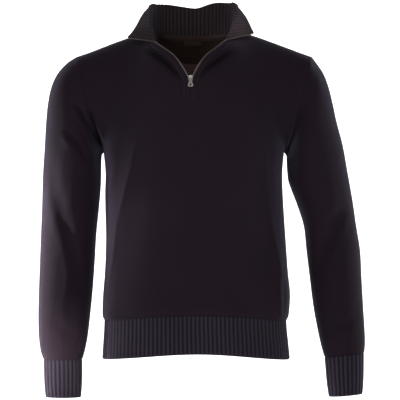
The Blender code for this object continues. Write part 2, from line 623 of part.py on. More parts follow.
def build_slider(finish):
    """The zip's slider: a front and a back plate on a post between the two chains, with the pull's bar."""
    width, height, plate = SLIDER
    front, rear = -PLATE_FACE, PLATE_BACK
    obj = to_object("zip_slider", box((width, plate, height), (0, front - plate / 2, 0), 0.0004), finish)
    obj.matrix_world = slider_frame()
    combine(obj, "slider_back_plate", box((width, plate, height), (0, rear + plate / 2, 0), 0.0004), "UNION")
    post = (0.0014, rear - front + plate, 0.0024)
    combine(obj, "slider_post", box(post, (0, (front + rear) / 2, height / 2 - 0.0014)), "UNION")
    reach = PIVOT_FACE - PLATE_FACE + 0.0010
    for side in (-1, 1):
        lug = (LUG, reach + 0.0004, LUG_HEIGHT)
        middle = (side * (EYE_WIDTH / 2 + EYE_PLAY + LUG / 2), front - reach / 2 + 0.0002, PIVOT_UP)
        combine(obj, f"slider_lug_{side}", box(lug, middle, 0.0003), "UNION")
    bar = rod(BAR, EYE_WIDTH + 2 * EYE_PLAY + LUG, (0, -PIVOT_FACE, PIVOT_UP))
    combine(obj, "slider_bar", bar, "UNION")
    return obj


def slider_frame():
    """The slider's own axes: X across, Y into the cloth, Z up along the closed zip."""
    low, high = (np.add(ZIP_EDGE[-1][k], ZIP_EDGE[1][k]) / 2 for k in (7, 6))
    up = unit(high - low)
    inward = np.cross(up, (1.0, 0.0, 0.0))
    middle = high + SLIDER_UP * up
    rows = np.eye(4)
    rows[:3, 0], rows[:3, 1], rows[:3, 2], rows[:3, 3] = (1, 0, 0), inward, up, middle
    return Matrix(rows.tolist())


def build_tab(finish):
    """The pull tab: a flat drop with a round hole, hung from the slider's bar by an eye."""
    pivot = slider_frame() @ Vector((0, -PIVOT_FACE, PIVOT_UP))
    obj = to_object("pull_tab", rod(EYE, EYE_WIDTH, (0, 0, 0), 16), finish)
    obj.location = pivot
    outline = bpy.data.curves.new("pull_tab_plate", "CURVE")
    outline.dimensions = "2D"
    outline.fill_mode = "BOTH"
    outline.extrude = TAB_PLATE / 2
    half = [(half_width, -drop) for drop, half_width in TAB_OUTLINE]
    hole = [(TAB_HOLE * math.cos(a), TAB_HOLE_DROP + TAB_HOLE * math.sin(a))
            for a in np.linspace(0, 2 * math.pi, 13)[:-1]]
    for ring in (half + [(-x, y) for x, y in reversed(half)], hole):
        spline = outline.splines.new("POLY")
        spline.points.add(len(ring) - 1)
        spline.use_cyclic_u = True
        for knot, (x, y) in zip(spline.points, ring):
            knot.co = (x, y, 0.0, 1.0)
    flat = bpy.data.objects.new("pull_tab_plate", outline)
    CUTTERS.objects.link(flat)
    bpy.context.view_layer.update()
    mesh = bpy.data.meshes.new_from_object(flat.evaluated_get(bpy.context.evaluated_depsgraph_get()))
    bpy.data.objects.remove(flat)
    work = bmesh.new()
    work.from_mesh(mesh)
    bmesh.ops.remove_doubles(work, verts=work.verts, dist=1e-5)
    work.transform(Matrix.Rotation(math.pi / 2, 4, "X"))
    combine(obj, "tab_plate", work, "UNION")
    combine(obj, "tab_eye", rod(BAR + EYE_PLAY, EYE_WIDTH * 2, (0, 0, 0)), "DIFFERENCE")
    return obj


# ---------------------------------------------------------------- the garment
def build():
    """Every piece of the sweater."""
    knit = material("navy_knit", (0.014, 0.012, 0.022), 0.85)
    rib = material("navy_rib", (0.020, 0.018, 0.032), 0.85)
    facing = material("navy_facing", (0.012, 0.010, 0.018), 0.85)
    label = material("label_cloth", (0.030, 0.028, 0.036), 0.7)
    teeth = material("zip_teeth", (0.42, 0.36, 0.34), 0.35, 0.9)
    steel = material("zip_metal", (0.62, 0.60, 0.58), 0.28, 1.0)

    front, _ = panel_grid(-1)
    back, _ = panel_grid(1)
    seams_f, seams_b = np.ones(front.shape[:2]), np.ones(back.shape[:2])
    for mask in (seams_f, seams_b):
        mask[0] = mask[:, 0] = mask[:, -1] = 0.0
    front += seams_f[..., None] * folds(front, -grid_normals(front), "body")
    back += seams_b[..., None] * folds(back, grid_normals(back), "body")
    normal_f, normal_b = -grid_normals(front), grid_normals(back)

    # Seams: both pieces are thick in one shared direction, so that their rims stay parallel.
    for column in (0, -1):
        shared = unit(normal_f[UPPER_ROWS + 1:, column] + normal_b[UPPER_ROWS + 1:, column])
        normal_f[UPPER_ROWS + 1:, column] = normal_b[UPPER_ROWS + 1:, column] = shared
    for k in range(1, SHOULDER_STEPS + 1):
        for column in (k, -1 - k):
            shared = unit(normal_f[0, column] + normal_b[0, column])
            normal_f[0, column] = normal_b[0, column] = shared
    neck, _ = neck_line(front, back)
    rim = unit(away_from_neck(neck) + np.array((0.0, 0.0, 1.0)))
    last = front.shape[1] - 1
    normal_f[0, SHOULDER_STEPS + NECK_STEPS:SHOULDER_STEPS - 1:-1] = rim[:NECK_STEPS + 1]
    normal_b[0, SHOULDER_STEPS:SHOULDER_STEPS + 2 * NECK_STEPS + 1] = rim[NECK_STEPS:3 * NECK_STEPS + 1]
    normal_f[0, last - SHOULDER_STEPS:last - SHOULDER_STEPS - NECK_STEPS - 1:-1] = rim[3 * NECK_STEPS:]

    for side, column, word in ((-1, 0, "right"), (1, -1, "left")):
        armhole = np.concatenate((front[UPPER_ROWS::-1, column], back[1:UPPER_ROWS, column]))
        sleeve = sleeve_grid(side, armhole)
        normals = outward(sleeve, grid_normals(sleeve, closed=True))
        sleeve[2:] += folds(sleeve, normals, "sleeve")[2:]
        normals = outward(sleeve, grid_normals(sleeve, closed=True))
        own = np.concatenate((normal_f[UPPER_ROWS::-1, column], normal_b[1:UPPER_ROWS, column]))
        beside = 1 if column == 0 else -2
        into = np.concatenate((front[UPPER_ROWS::-1, beside], back[1:UPPER_ROWS, beside])) - armhole
        into[0] = front[UPPER_ROWS + 1, column] - armhole[0]
        shared, between = seam_rim(armhole, into, sleeve[1] - sleeve[0], own, normals[0])
        normals[0] = shared
        normal_f[UPPER_ROWS::-1, column] = shared[:UPPER_ROWS + 1]
        normal_b[1:UPPER_ROWS, column] = shared[UPPER_ROWS + 1:]
        normal_b[0, column], normal_b[UPPER_ROWS, column] = shared[UPPER_ROWS], shared[0]
        sleeve[0] -= ARMHOLE_GAP / 2 * between
        front[UPPER_ROWS::-1, column] += ARMHOLE_GAP / 2 * between[:UPPER_ROWS + 1]
        behind = np.append(np.arange(UPPER_ROWS, 2 * UPPER_ROWS), 0)
        back[:UPPER_ROWS + 1, column] += ARMHOLE_GAP / 2 * between[behind]
        add_wall(f"sleeve_{word}", sleeve, -normals, KNIT, knit, closed=True)
        build_cuff(side, f"cuff_{word}", rib)

    collar, away = collar_grid(front, back)
    build_collar(collar, away, rib)

    corner, slit_end = SHOULDER_STEPS + NECK_STEPS, SHOULDER_STEPS + NECK_STEPS + SLIT_STEPS
    right_edge, left_edge = np.arange(slit_end, corner - 1, -1), np.arange(last - slit_end, last - corner + 1)
    for word, columns in (("right", right_edge), ("left", left_edge)):
        build_zip_side(word, front, normal_f, columns, collar, teeth, facing, knit)

    for grid in (front, back):
        for edge in ("top", "first", "last"):
            draw_back(grid, edge)
    add_wall("front_panel", front, -normal_f, KNIT, knit)
    add_wall("back_panel", back, -normal_b, KNIT, knit)
    for face, word in ((-1, "front"), (1, "back")):
        build_hem(face, f"hem_rib_{word}", rib)
    build_back_neck(back - KNIT * normal_b, facing, label)
    build_slider(steel)
    build_tab(steel)


def build_collar(grid, away, finish):
    """The ribbed collar: one layer of rib, so its groove outside is a ridge inside."""
    normals = grid_normals(grid)
    normals *= np.sign(np.sum(normals[1] * away))
    normals[0] = unit(away + np.array((0.0, 0.0, 1.0)))
    columns = grid.shape[1]
    wave = np.where(np.arange(columns) % 2 == 0, 0.5, -0.5) * RIB_RISE
    outer = grid + wave[None, :, None] * normals
    draw_back(outer, "top", 1.5 * SEAM_GAP)
    near_zip = np.clip(1 - np.minimum(np.arange(columns), np.arange(columns)[::-1]) / 6, 0, 1)
    outer[0, :, 2] += COLLAR_LIFT * near_zip
    return add_wall("collar", outer, -normals, RIB_CLOTH, finish)


def build_hem(face, name, finish):
    """Half of the hem rib, from side seam to side seam."""
    fine = half_ring((BODY_END + HEM_END) / 2, face, np.linspace(-1, 1, 400))
    ribs = round(np.linalg.norm(np.diff(fine, axis=0), axis=1).sum() / RIB_PITCH)
    share = np.linspace(-1, 1, 2 * ribs + 1)
    rows = []
    for step in np.linspace(0, 1, HEM_ROWS + 1):
        row = half_ring(BODY_END + (HEM_END - BODY_END) * step, face, share)
        top = ring_end(row[:, 0], face, BODY_END, BODY_END_RISE) - SEAM_GAP
        low = ring_end(row[:, 0], face, HEM_END, HEM_END_RISE)
        row[:, 2] = top + (low - top) * step
        rows.append(row)
    rows = np.array(rows)
    normals = grid_normals(rows) * face
    normals[:, 0] = (-1.0, 0.0, 0.0)
    normals[:, -1] = (1.0, 0.0, 0.0)
    proud = np.where(np.arange(2 * ribs + 1) % 2 == 1, 0.0, -RIB_RISE)[None, :, None]
    outer = rows + proud * normals
    inner = rows - RIB_CLOTH * normals
    for grid in (outer, inner):
        draw_back(grid, "first")
        draw_back(grid, "last")
    points, faces = wall_mesh(outer, inner, closed=False)
    return add_mesh(name, points, faces, finish, sharp_angle=75)


def build_zip_side(word, front, normals, columns, collar, teeth, facing, knit):
    """One side of the zip, from its lower end up: the teeth, the tape inside and the facing band outside."""
    edge, inside, normal = front[0, columns], front[1, columns], normals[0, columns].copy()
    normal[-1] = normals[1, columns[-1]]
    body_line = chain_line(edge, inside, normal, CHAIN_SINK)
    own = grid_normals(collar)
    first, second = (0, 1) if word == "right" else (-1, -2)
    side_edge, side_inside, side_normal = collar[:, first], collar[:, second], own[:, first]
    collar_line = chain_line(side_edge, side_inside, side_normal, 0.0)
    turn = unit(body_line[-1] + collar_line[0] - 2 * edge[-1])
    corner = edge[-1] + (CHAIN_WIDTH / 2 + CORNER_CLEAR) * turn
    line = np.concatenate((body_line[:-1], corner[None], collar_line))
    add_chain(f"zip_teeth_{word}", line, teeth)
    run = unit(np.gradient(edge, axis=0))
    into = unit(np.cross(run, normal))
    into *= np.sign(np.sum(into * (inside - edge)))
    at = np.linspace(0.0, len(edge) - 1 - BAND_SHORT, BAND_STEPS + 1)
    line, into, normal = (np.column_stack([np.interp(at, np.arange(len(v)), v[:, k]) for k in range(3)])
                          for v in (edge, into, normal))
    into, normal = unit(into), unit(normal)
    outer_tree, inner_tree = face_tree(front), face_tree(front - KNIT * normals)
    wide = np.linspace(BAND_INSET, BAND_WIDTH, 4)[:, None, None]
    band = line + wide * into
    beyond = columns[-1] + (columns[-1] - columns[-2])
    along_neck = unit(front[0, beyond] - edge[-1])
    band[:, -1] = edge[-1] + wide[:, 0] * along_neck + BAND_END * unit(inside[-1] - edge[-1])
    band = place_on(outer_tree, band)
    lift = BAND_GAP * (1 + np.linspace(0, 1, BAND_STEPS + 1)[None, :, None] ** 3)
    add_laid(f"facing_band_{word}", band, np.broadcast_to(normal, band.shape), lift, BAND, knit)
    wide = np.linspace(0.0, TAPE_WIDTH, 3)[:, None, None]
    tape = place_on(inner_tree, line - KNIT * normal + wide * into)
    tape[0] -= TAPE_OVER * into
    add_laid(f"zip_tape_{word}", tape, -np.broadcast_to(normal, tape.shape), TAPE_GAP, TAPE, facing)


def build_back_neck(inner, facing, label):
    """The tape over the back neck seam, the half-moon below it and the blank label."""
    tree = face_tree(inner)
    x = np.linspace(-1.0, 1.0, 2 * NECK_STEPS + 1)
    seam = inner[0, SHOULDER_STEPS:SHOULDER_STEPS + 2 * NECK_STEPS + 1]

    def hung(half_width, top, bottom, rows):
        """Points on the inside of the back between two edges below the neck seam."""
        across = half_width * x
        upper = np.interp(across, seam[:, 0], seam[:, 2]) - top
        lower = upper - bottom
        share = np.linspace(0.0, 1.0, rows + 1)[:, None]
        height = upper + (lower - upper) * share
        points = np.zeros((*height.shape, 3))
        for place in np.ndindex(height.shape):
            start = Vector((across[place[1]], 0.0, height[place]))
            points[place] = tree.ray_cast(start, Vector((0.0, 1.0, 0.0)))[0]
        return points, -unit(grid_normals(points) * np.sign(grid_normals(points)[..., 1:2]))

    def lay(name, half_width, top, bottom, rows, lift, thickness, finish):
        points, out = hung(half_width, top, bottom, rows)
        return add_laid(name, points, out, lift, thickness, finish)

    lay("neck_tape", TAPE_HALF, TAPE_TOP, NECK_TAPE, 1, NECK_LIFT, TAPE, facing)
    round_edge = MOON_DROP * np.sqrt(np.clip(1 - (x * 0.98) ** 2, 0, 1))
    lay("half_moon", MOON_HALF, MOON_TOP, round_edge + 0.002, 5, LIE_GAP, MOON, facing)
    lay("neck_label", LABEL[0] / 2, LABEL_TOP, LABEL[1], 1, 3 * LIE_GAP + MOON, LABEL[2], label)


SWEATER = bpy.data.collections.new("quarter_zip_sweater")
CUTTERS = bpy.data.collections.new("cutters")


def main():
    """Start from an empty scene and build the sweater."""
    for obj in list(bpy.data.objects):
        bpy.data.objects.remove(obj)
    bpy.context.scene.collection.children.link(SWEATER)
    bpy.context.scene.collection.children.link(CUTTERS)
    build()


main()
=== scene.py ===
"""Quarter zip sweater, dressed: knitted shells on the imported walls, with zip, seams, stitching and light.

Frame: metres, +Z up, the front faces -Y, the wearer's left arm is at +X, the origin is the middle of the
neck opening at the height of the collar seam.

Every cloth piece is a grid of points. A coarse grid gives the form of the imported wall, cubic curves
through it give a fine one, creases move that by their own soft profiles, and the wall's inner face is
the same grid moved inwards. Ribs are raised cosine waves along their pieces.
"""
import math

import bmesh
import bpy
import numpy as np
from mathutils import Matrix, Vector

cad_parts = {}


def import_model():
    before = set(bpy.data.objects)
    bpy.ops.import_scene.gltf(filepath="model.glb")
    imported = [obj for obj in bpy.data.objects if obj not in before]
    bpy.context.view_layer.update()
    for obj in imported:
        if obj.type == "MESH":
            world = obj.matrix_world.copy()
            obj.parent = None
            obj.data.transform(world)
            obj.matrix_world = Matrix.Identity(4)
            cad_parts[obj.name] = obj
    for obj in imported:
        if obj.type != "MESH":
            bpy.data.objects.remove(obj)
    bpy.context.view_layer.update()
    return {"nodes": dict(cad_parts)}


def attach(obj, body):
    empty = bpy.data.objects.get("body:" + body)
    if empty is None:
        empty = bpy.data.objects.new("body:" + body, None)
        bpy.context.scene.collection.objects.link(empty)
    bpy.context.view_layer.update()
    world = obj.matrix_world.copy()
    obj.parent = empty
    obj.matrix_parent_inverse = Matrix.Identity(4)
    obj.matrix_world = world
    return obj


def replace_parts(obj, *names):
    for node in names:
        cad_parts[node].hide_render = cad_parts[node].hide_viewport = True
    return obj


# ---------------------------------------------------------------- driving sizes, metres
KNIT = 0.0018            # thickness of the fine knit body cloth
RIB_CLOTH = 0.0020       # thickness of the ribbed cloth
RIB_PITCH = 0.0086       # one rib and its groove
RIB_RISE = 0.0011        # how far a rib stands over its groove
SEAM_ROLL = 0.0007       # the cloth's edge dips by this much into a seam,
SEAM_STEPS = 2           # over this many fine steps
SEAM_GAP = 0.0003        # between the cloth and the rib that is joined to it

UNDERARM = -0.232        # height where front, back and sleeve meet
BODY_END = -0.5785       # height where the body is joined to the hem rib, at the sides
BODY_END_RISE = 0.0140   # the join is higher than that at the centre front
HEM_END = -0.6580        # lower edge of the hem rib, at the sides
HEM_END_RISE = 0.0125    # it is higher than that at the centre front
RISE_SPAN = 0.19         # half width over which both come down again
HEM_WANDER = (0.0012, 23.0, 1.3)      # its lower edge wanders in a sine: how far, radians a metre, start
ROLL = 0.14              # half length of the collar's roll, as a share of its height
CUFF_STEP = 0.0008       # the cuff is drawn in by this much where the sleeve joins it
CUFF_RAISE = 0.0062      # the seam between them lies this much higher than on the solids
CUFF_FADE = 0.110        # and the sleeve over this length above it makes room
CUFF_SWELL = 0.0012      # a cuff is fuller than a straight tube by this much at most

TEETH_PITCH = 0.00150    # from one tooth to the next on the same side
TOOTH = (0.00085, 0.00210, 0.0017)    # a tooth along the zip, across it and through the cloth
TOOTH_CUTS = ((-1.0, 0.72), (-0.55, 1.0), (0.55, 1.0), (1.0, 0.72))   # its half heights and width there
TEETH_OFF = 0.0012       # middle of the teeth beyond the cloth's edge
CHAIN_SINK = 0.0005      # and below its outer face
TEETH_DROP = 0.0011      # deeper still where the facings close over them, below the slider
TEETH_END = 0.0015       # the last tooth stops this far from the collar's corner
CHAIN_STEP = 0.0005      # from point to point of the line that the teeth follow
CORNER_ROUNDS = 22       # rounds of easing it where it passes from the front on to the collar
SLIDER_FOOT = -0.0905    # height of the slider's lower end
TAPE_WIDTH = 0.0085      # the zip's tape
TAPE = 0.0008
TAPE_OVER = 0.0012       # it reaches this far past the cloth's edge
TAPE_GAP = 0.0003        # and lies this far off the cloth's inside
BAND_WIDTH = 0.0112      # raised facing beside the zip
BAND = 0.0014
BAND_STEPS = 8           # steps across it
BAND_INSET = 0.0010      # it starts this far from the cloth's edge
BAND_OVER = 0.0029       # and reaches this far over the teeth below the slider
BAND_MEET = 0.0006       # and this much further at the foot, where the two bands meet
BAND_BELOW = 0.0045      # they run on this far below the slit
BAND_BEYOND = 9          # fine steps they run on beside the neck seam, under the collar
BAND_TAPER = 0.016       # length over which they narrow there
BAND_NARROW = 0.30       # to this share of their width
BAND_GAP = 0.0002        # room between a band and the cloth
BAND_LIFT = 0.0004       # more where it lies over the teeth
CLOSE_FADE = 0.006       # height over which the bands close below the slider
SLOT_FOOT = -0.1115      # height where the slot between them closes,
SLOT_FADE = 0.003        # over this height
STRIP_STEP = 0.0016      # from point to point along bands and tapes
BESIDE_STEP = 0.0014     # and of each step away from the zip along the cloth
STITCH = (0.0021, 0.0007, 0.00022)    # a stitch: length, gap to the next, radius of the thread
STITCH_FORM = ((0.0, 0.15), (0.18, 0.85), (0.5, 1.0), (0.82, 0.85), (1.0, 0.15))   # place, share of radius
STITCH_SIDES = 6
STITCH_ROWS = (0.20, 0.86)            # the two rows' places across a band
STITCH_SINK = 0.92       # share of the band's thickness where the thread's middle lies
NECK_TAPE = 0.0105       # depth of the tape over the back neck seam
TAPE_TOP = -0.0085       # it starts this far below the seam: above it, where the value is negative
TAPE_HALF = 0.0700       # half its width
MOON = 0.0010            # half moon on the inside of the back: thickness, half width, drop
MOON_HALF = 0.0780
MOON_DROP = 0.0470
MOON_TOP = 0.0015        # it starts this far below the seam
LABEL = (0.0360, 0.0090, 0.0005)      # blank label: width, height, thickness
LABEL_TOP = 0.0026       # it starts this far below the seam
LABEL_MIDDLE = -0.0050   # and its middle lies here, across
END_DROP = (0.002, 0.001)             # height that the half moon and the tape keep at their ends
SLIDER_EDGE, TAB_EDGE = 0.0003, 0.00025              # rounding of the metal's edges
METAL_JOIN = 2e-5        # points of a metal piece closer than this are one point
METAL_FLAT, METAL_EDGE = 4, 32        # degrees between faces: merged below, rounded above

# ---------------------------------------------------------------- driving numbers
LOWER_ROWS = 9           # rows of faces of the coarse grid between the hem rib and the underarm
BLOUSE_SHARE = 0.964     # the last of them starts here, where the body blouses over the rib
UPPER_ROWS = 10          # rows between the underarm and the shoulder
SHOULDER_STEPS = 6       # columns along one shoulder seam
NECK_STEPS = 6           # columns along half of the front or back neck seam
SLIT_STEPS = 8           # columns along one edge of the zip opening
FINE = 6                 # fine steps in each coarse step of the body
UNDER_ROW = UPPER_ROWS * FINE         # row of the fine grids at the underarm
SHOULDER_COLUMN = SHOULDER_STEPS * FINE              # columns where the shoulder seam, the neck seam
NECK_COLUMN = SHOULDER_COLUMN + NECK_STEPS * FINE    # and the slit end
SLIT_COLUMN = NECK_COLUMN + SLIT_STEPS * FINE
NEAR_ZIP = 8 * FINE      # strips beside the zip are laid on this many rows, this far from the armholes
SLEEVE_FINE = 8          # fine steps between two rings of a sleeve,
CLOSE_FINE = 18          # and between the rings next to the armhole, where creases are narrow
CLOSE_RINGS = 5
RIB_POINTS = 10          # points across one rib and its groove
RIB_ROWS = 34            # points down a cuff or the hem rib
COLLAR_ROWS = (9, 18, 12)             # steps up the collar: below its roll, in it and past it
TURN_POINTS = 721        # points of a ring that is cut into equal steps along its length
LINE_POINTS = 400        # and of an open line
ARMHOLE_FADE = 6         # rings over which a sleeve forgets the armhole's own shape
EASE_STEPS = 10          # rounds of evening out the chest and the back
EASE = 0.25              # weight of a point's neighbours in one round
FOLD_FACING = 1.6        # how soon a fold is whole where the cloth turns towards its face
FOLD_END = 0.7           # how suddenly folds start and end, less is more sudden
CREASE_STEPS = 12        # straight pieces in the line of a crease
CREASE_END = 0.6         # how suddenly creases start and end, less is more sudden
FOLD_FOCUS = 1.3         # how closely the painted shade of a fold keeps to its bottom

RIB_WAVE = (0.60, 0.62, 0.8)          # middle and half height of a rib's clipped wave, and its power
WORN_LEVEL = 0.55        # mean height of a rib's wave, which worn ribs keep
LAPEL_WORN = 0.55        # share of a rib's wave that is gone where the collar is turned out,
WORN_FROM = 0.25         # all of it from this share of the collar's height past the roll
RIB_START = 0.05         # share of its length over which a rib rises from the seam
RIB_STOP = 0.06          # and over which it sinks at the cast-off edge,
CAST_RISE = 0.35         # to this share, which is also how high that edge swells
CAST_EDGE = 0.035        # share of the rib's length between the two lines of the edge
RIB_BACK = 0.2           # share of a rib's rise that its wall is thicker
TUCK = 0.0022            # ribbed pieces run this far on into their seams
COLLAR_INSET = 0.0010    # the collar's ends stop this far before the ends of the neck seam
ROLL_LOW, ROLL_HIGH = (0.06, 0.78), (0.18, 0.92)     # lowest and highest places of the roll's two ends

YOKE_FADE = 0.06         # height over which the knit's columns pass from round the body to straight up,
YOKE_SPREAD = 1.08       # with this stretch across
YOKE_LEAN = 0.7          # and this one along the shoulders' slope,
FRONT_PLANE, BACK_PLANE = 0.128, 0.123               # counted from the chest and the back

# ---------------------------------------------------------------- driving finishes, linear colours
YARN = ((0.0058, 0.0034, 0.0060), (0.0110, 0.0066, 0.0110))          # dark and light
PURL = (YARN[0], (0.0760, 0.0510, 0.0420))
# the ribbed yarns' dark goes to the grooves and light to the ridges: painted shade and painted light
RIB_YARN = ((0.0031, 0.0020, 0.0035), (0.0212, 0.0172, 0.0262))
COLLAR_YARN = ((0.0055, 0.0036, 0.0044), (0.0220, 0.0160, 0.0180))
MOON_YARN = ((0.0085, 0.0042, 0.0036), (0.0180, 0.0090, 0.0072))
TAPE_YARN = ((0.0150, 0.0095, 0.0090), (0.0260, 0.0170, 0.0160))
LABEL_YARN = ((0.0190, 0.0120, 0.0110), (0.0320, 0.0200, 0.0185))
KNITS = (     # key, material, dark and light, a stitch's width and height, nap, what paints light and shade on it
    ("jersey", "navy_jersey", YARN, (0.0017, 0.0013), 0.14, "folds"),
    ("purl", "navy_jersey_inside", PURL, (0.0017, 0.0011), 0.12, ""),
    ("rib", "navy_rib", RIB_YARN, (0.0019, 0.0015), 0.12, "ribs"),
    ("collar_rib", "navy_collar_rib", COLLAR_YARN, (0.0019, 0.0015), 0.10, "ribs"),
    ("facing", "navy_facing", YARN, (0.0012, 0.0010), 0.18, ""),
    ("moon", "navy_half_moon", MOON_YARN, (0.0014, 0.0012), 0.04, ""),
    ("neck_tape", "neck_tape", TAPE_YARN, (0.0009, 0.0009), 0.05, ""),
    ("woven", "dark_tape", YARN, (0.0009, 0.0009), 0.05, ""),
    ("label", "plain_label", LABEL_YARN, (0.0006, 0.0006), 0.04, ""),
)
METALS = (("teeth", (0.20, 0.165, 0.155), 0.42), ("steel", (0.17, 0.155, 0.145), 0.44))
THREAD = (0.018, 0.014, 0.024)
CLOTH_ROUGH, THREAD_ROUGH, THREAD_SHEEN = 0.86, 0.6, 0.2
SHEEN_TINT = (0.62, 0.60, 0.86)
SHEEN_ROUGH = 0.24
GLOSS = 0.06             # specular level of cloth
FOLD_SHADE = 0.96        # painted shade: share of the colour that is gone at the bottom of a fold
STITCH_BUMP = (0.55, 0.0006)          # strength and depth
WEAR_BUMP = (0.15, 0.0001)
FUZZ_SCALE, CAST_SCALE, WEAR_SCALE = 900.0, 9.0, 700.0    # of the noises, to the metre
FUZZ = 0.35              # height of loose fibres beside that of the stitches
LEG_SLANT = 1.2          # slope of a stitch's leg, in stitches up for one across
# slope and start: a stitch's height over its loop, shade over height, dye over noise, a rib's painted
# light over its rise, and a metal's roughness over wear, counted from its own
LOOP_LINE, SHADE_LINE, DYE_LINE = (0.6, 0.4), (0.35, 0.80), (0.5, 0.30)
RIB_LINE, WEAR_LINE = (1.25, 0.25), (0.22, -0.10)

# ---------------------------------------------------------------- stage
FLOOR = -0.86            # its height
FLOOR_FRONT, FLOOR_BEND = -7.0, 1.6   # its front end, and where it starts to curve up
FLOOR_CURVE, WALL_TOP = 1.2, 4.5      # radius of that curve, and the wall's upper end
FLOOR_HALF = 6.0         # half its width
FLOOR_GREY, FLOOR_GLOW, WORLD = 0.90, 0.75, 0.40     # colour, own light and light from all round
CAMERA_AWAY = 4.5        # distance from the camera to the garment's middle
FRAME_WIDTH = 0.832      # width of the view there
CAMERA_X, CAMERA_Z = 0.0104, -0.3307
LIGHTS = (   # name, place, aim, size, power, colour, spread in degrees
    ("key", (-1.1, -3.1, 1.7), (0.0, 0.0, -0.35), (1.5, 1.5), 56.0, (1.0, 0.98, 0.97), 180),
    ("fill", (1.6, -3.2, 1.1), (0.0, 0.0, -0.30), (1.8, 1.8), 22.0, (1.0, 0.98, 0.98), 180),
    ("left_strip", (-1.5, 0.42, -0.75), (-0.28, 0.0, -0.50), (0.30, 0.9), 80.0, (0.96, 0.95, 1.0), 180),
    ("left_slit", (-1.2, -0.06, -0.56), (-0.34, -0.005, -0.56), (0.08, 0.60), 1.5, (1.0, 0.96, 0.97), 14),
    ("left_low", (-0.9, -1.30, -0.75), (-0.285, -0.03, -0.655), (0.06, 0.06), 0.28, (1.0, 0.93, 0.88), 10),
    ("right_strip", (1.5, 0.40, -0.70), (0.28, 0.0, -0.50), (0.30, 0.9), 22.0, (0.94, 0.95, 1.0), 180),
    ("right_lapel", (0.25, -1.50, 0.50), (0.0880, -0.075, 0.032), (0.04, 0.04), 0.019, (1.0, 0.95, 0.95), 4),
)

# ---------------------------------------------------------------- shape tables
# height, right side, left side, front, back, squareness of the body's ring
TORSO = (
    (-0.6600, -0.1925, 0.1970, -0.1180, 0.1150, 3.0),
    (-0.6200, -0.1900, 0.1930, -0.1180, 0.1150, 3.0),
    (-0.5950, -0.1885, 0.1905, -0.1180, 0.1150, 3.0),
    (-0.5785, -0.1885, 0.1905, -0.1185, 0.1150, 3.0),
    (-0.5660, -0.1920, 0.1950, -0.1225, 0.1185, 2.9),
    (-0.5550, -0.1925, 0.1960, -0.1230, 0.1190, 2.9),
    (-0.5300, -0.1910, 0.1975, -0.1220, 0.1175, 2.8),
    (-0.4800, -0.1870, 0.1930, -0.1215, 0.1130, 2.7),
    (-0.4300, -0.1850, 0.1895, -0.1215, 0.1080, 2.6),
    (-0.3800, -0.1850, 0.1860, -0.1230, 0.1070, 2.6),
    (-0.3300, -0.1870, 0.1830, -0.1260, 0.1110, 2.6),
    (-0.2800, -0.1855, 0.1810, -0.1285, 0.1180, 2.6),
    (-0.2320, -0.1900, 0.1850, -0.1280, 0.1230, 2.6),
)
# The seams of the yoke, as points from the shoulder point in to the neck and on to the zip.
SHOULDER_SEAM = {
    -1: ((-0.2454, 0.008, -0.0315), (-0.2100, 0.010, -0.0190), (-0.1780, 0.012, -0.0060),
         (-0.1480, 0.014, 0.0050), (-0.1130, 0.016, 0.0170), (-0.0840, 0.018, 0.0265)),
    1: ((0.2425, 0.008, -0.0315), (0.2080, 0.010, -0.0190), (0.1740, 0.012, -0.0060),
        (0.1430, 0.014, 0.0055), (0.1080, 0.016, 0.0175), (0.0800, 0.018, 0.0275)),
}
FRONT_NECK = {
    -1: ((-0.0840, 0.018, 0.0265), (-0.0880, -0.008, 0.0190), (-0.0875, -0.040, 0.0060),
         (-0.0790, -0.072, -0.0092)),
    1: ((0.0800, 0.018, 0.0275), (0.0810, -0.008, 0.0200), (0.0750, -0.042, 0.0080),
        (0.0595, -0.072, -0.0060)),
}
BACK_NECK = {
    -1: ((-0.0840, 0.018, 0.0265), (-0.0760, 0.044, 0.0165), (-0.0520, 0.066, 0.0105),
         (0.0, 0.078, 0.0090)),
    1: ((0.0800, 0.018, 0.0275), (0.0720, 0.044, 0.0170), (0.0490, 0.066, 0.0105),
        (0.0, 0.078, 0.0090)),
}
ZIP_EDGE = {   # edge of the front beside the zip, from the neck seam down to the end of the zip
    -1: ((-0.0790, -0.072, -0.0092), (-0.0632, -0.084, -0.0212), (-0.0504, -0.094, -0.0302),
         (-0.0394, -0.102, -0.0404), (-0.0292, -0.108, -0.0553), (-0.0190, -0.1135, -0.0720),
         (-0.0128, -0.1160, -0.0830), (-0.0124, -0.1190, -0.1020), (-0.0124, -0.1215, -0.1222)),
    1: ((0.0595, -0.072, -0.0060), (0.0502, -0.080, -0.0152), (0.0372, -0.090, -0.0246),
        (0.0270, -0.097, -0.0324), (0.0180, -0.103, -0.0416), (0.0060, -0.109, -0.0610),
        (-0.0048, -0.1160, -0.0830), (-0.0052, -0.1190, -0.1020), (-0.0052, -0.1215, -0.1222)),
}
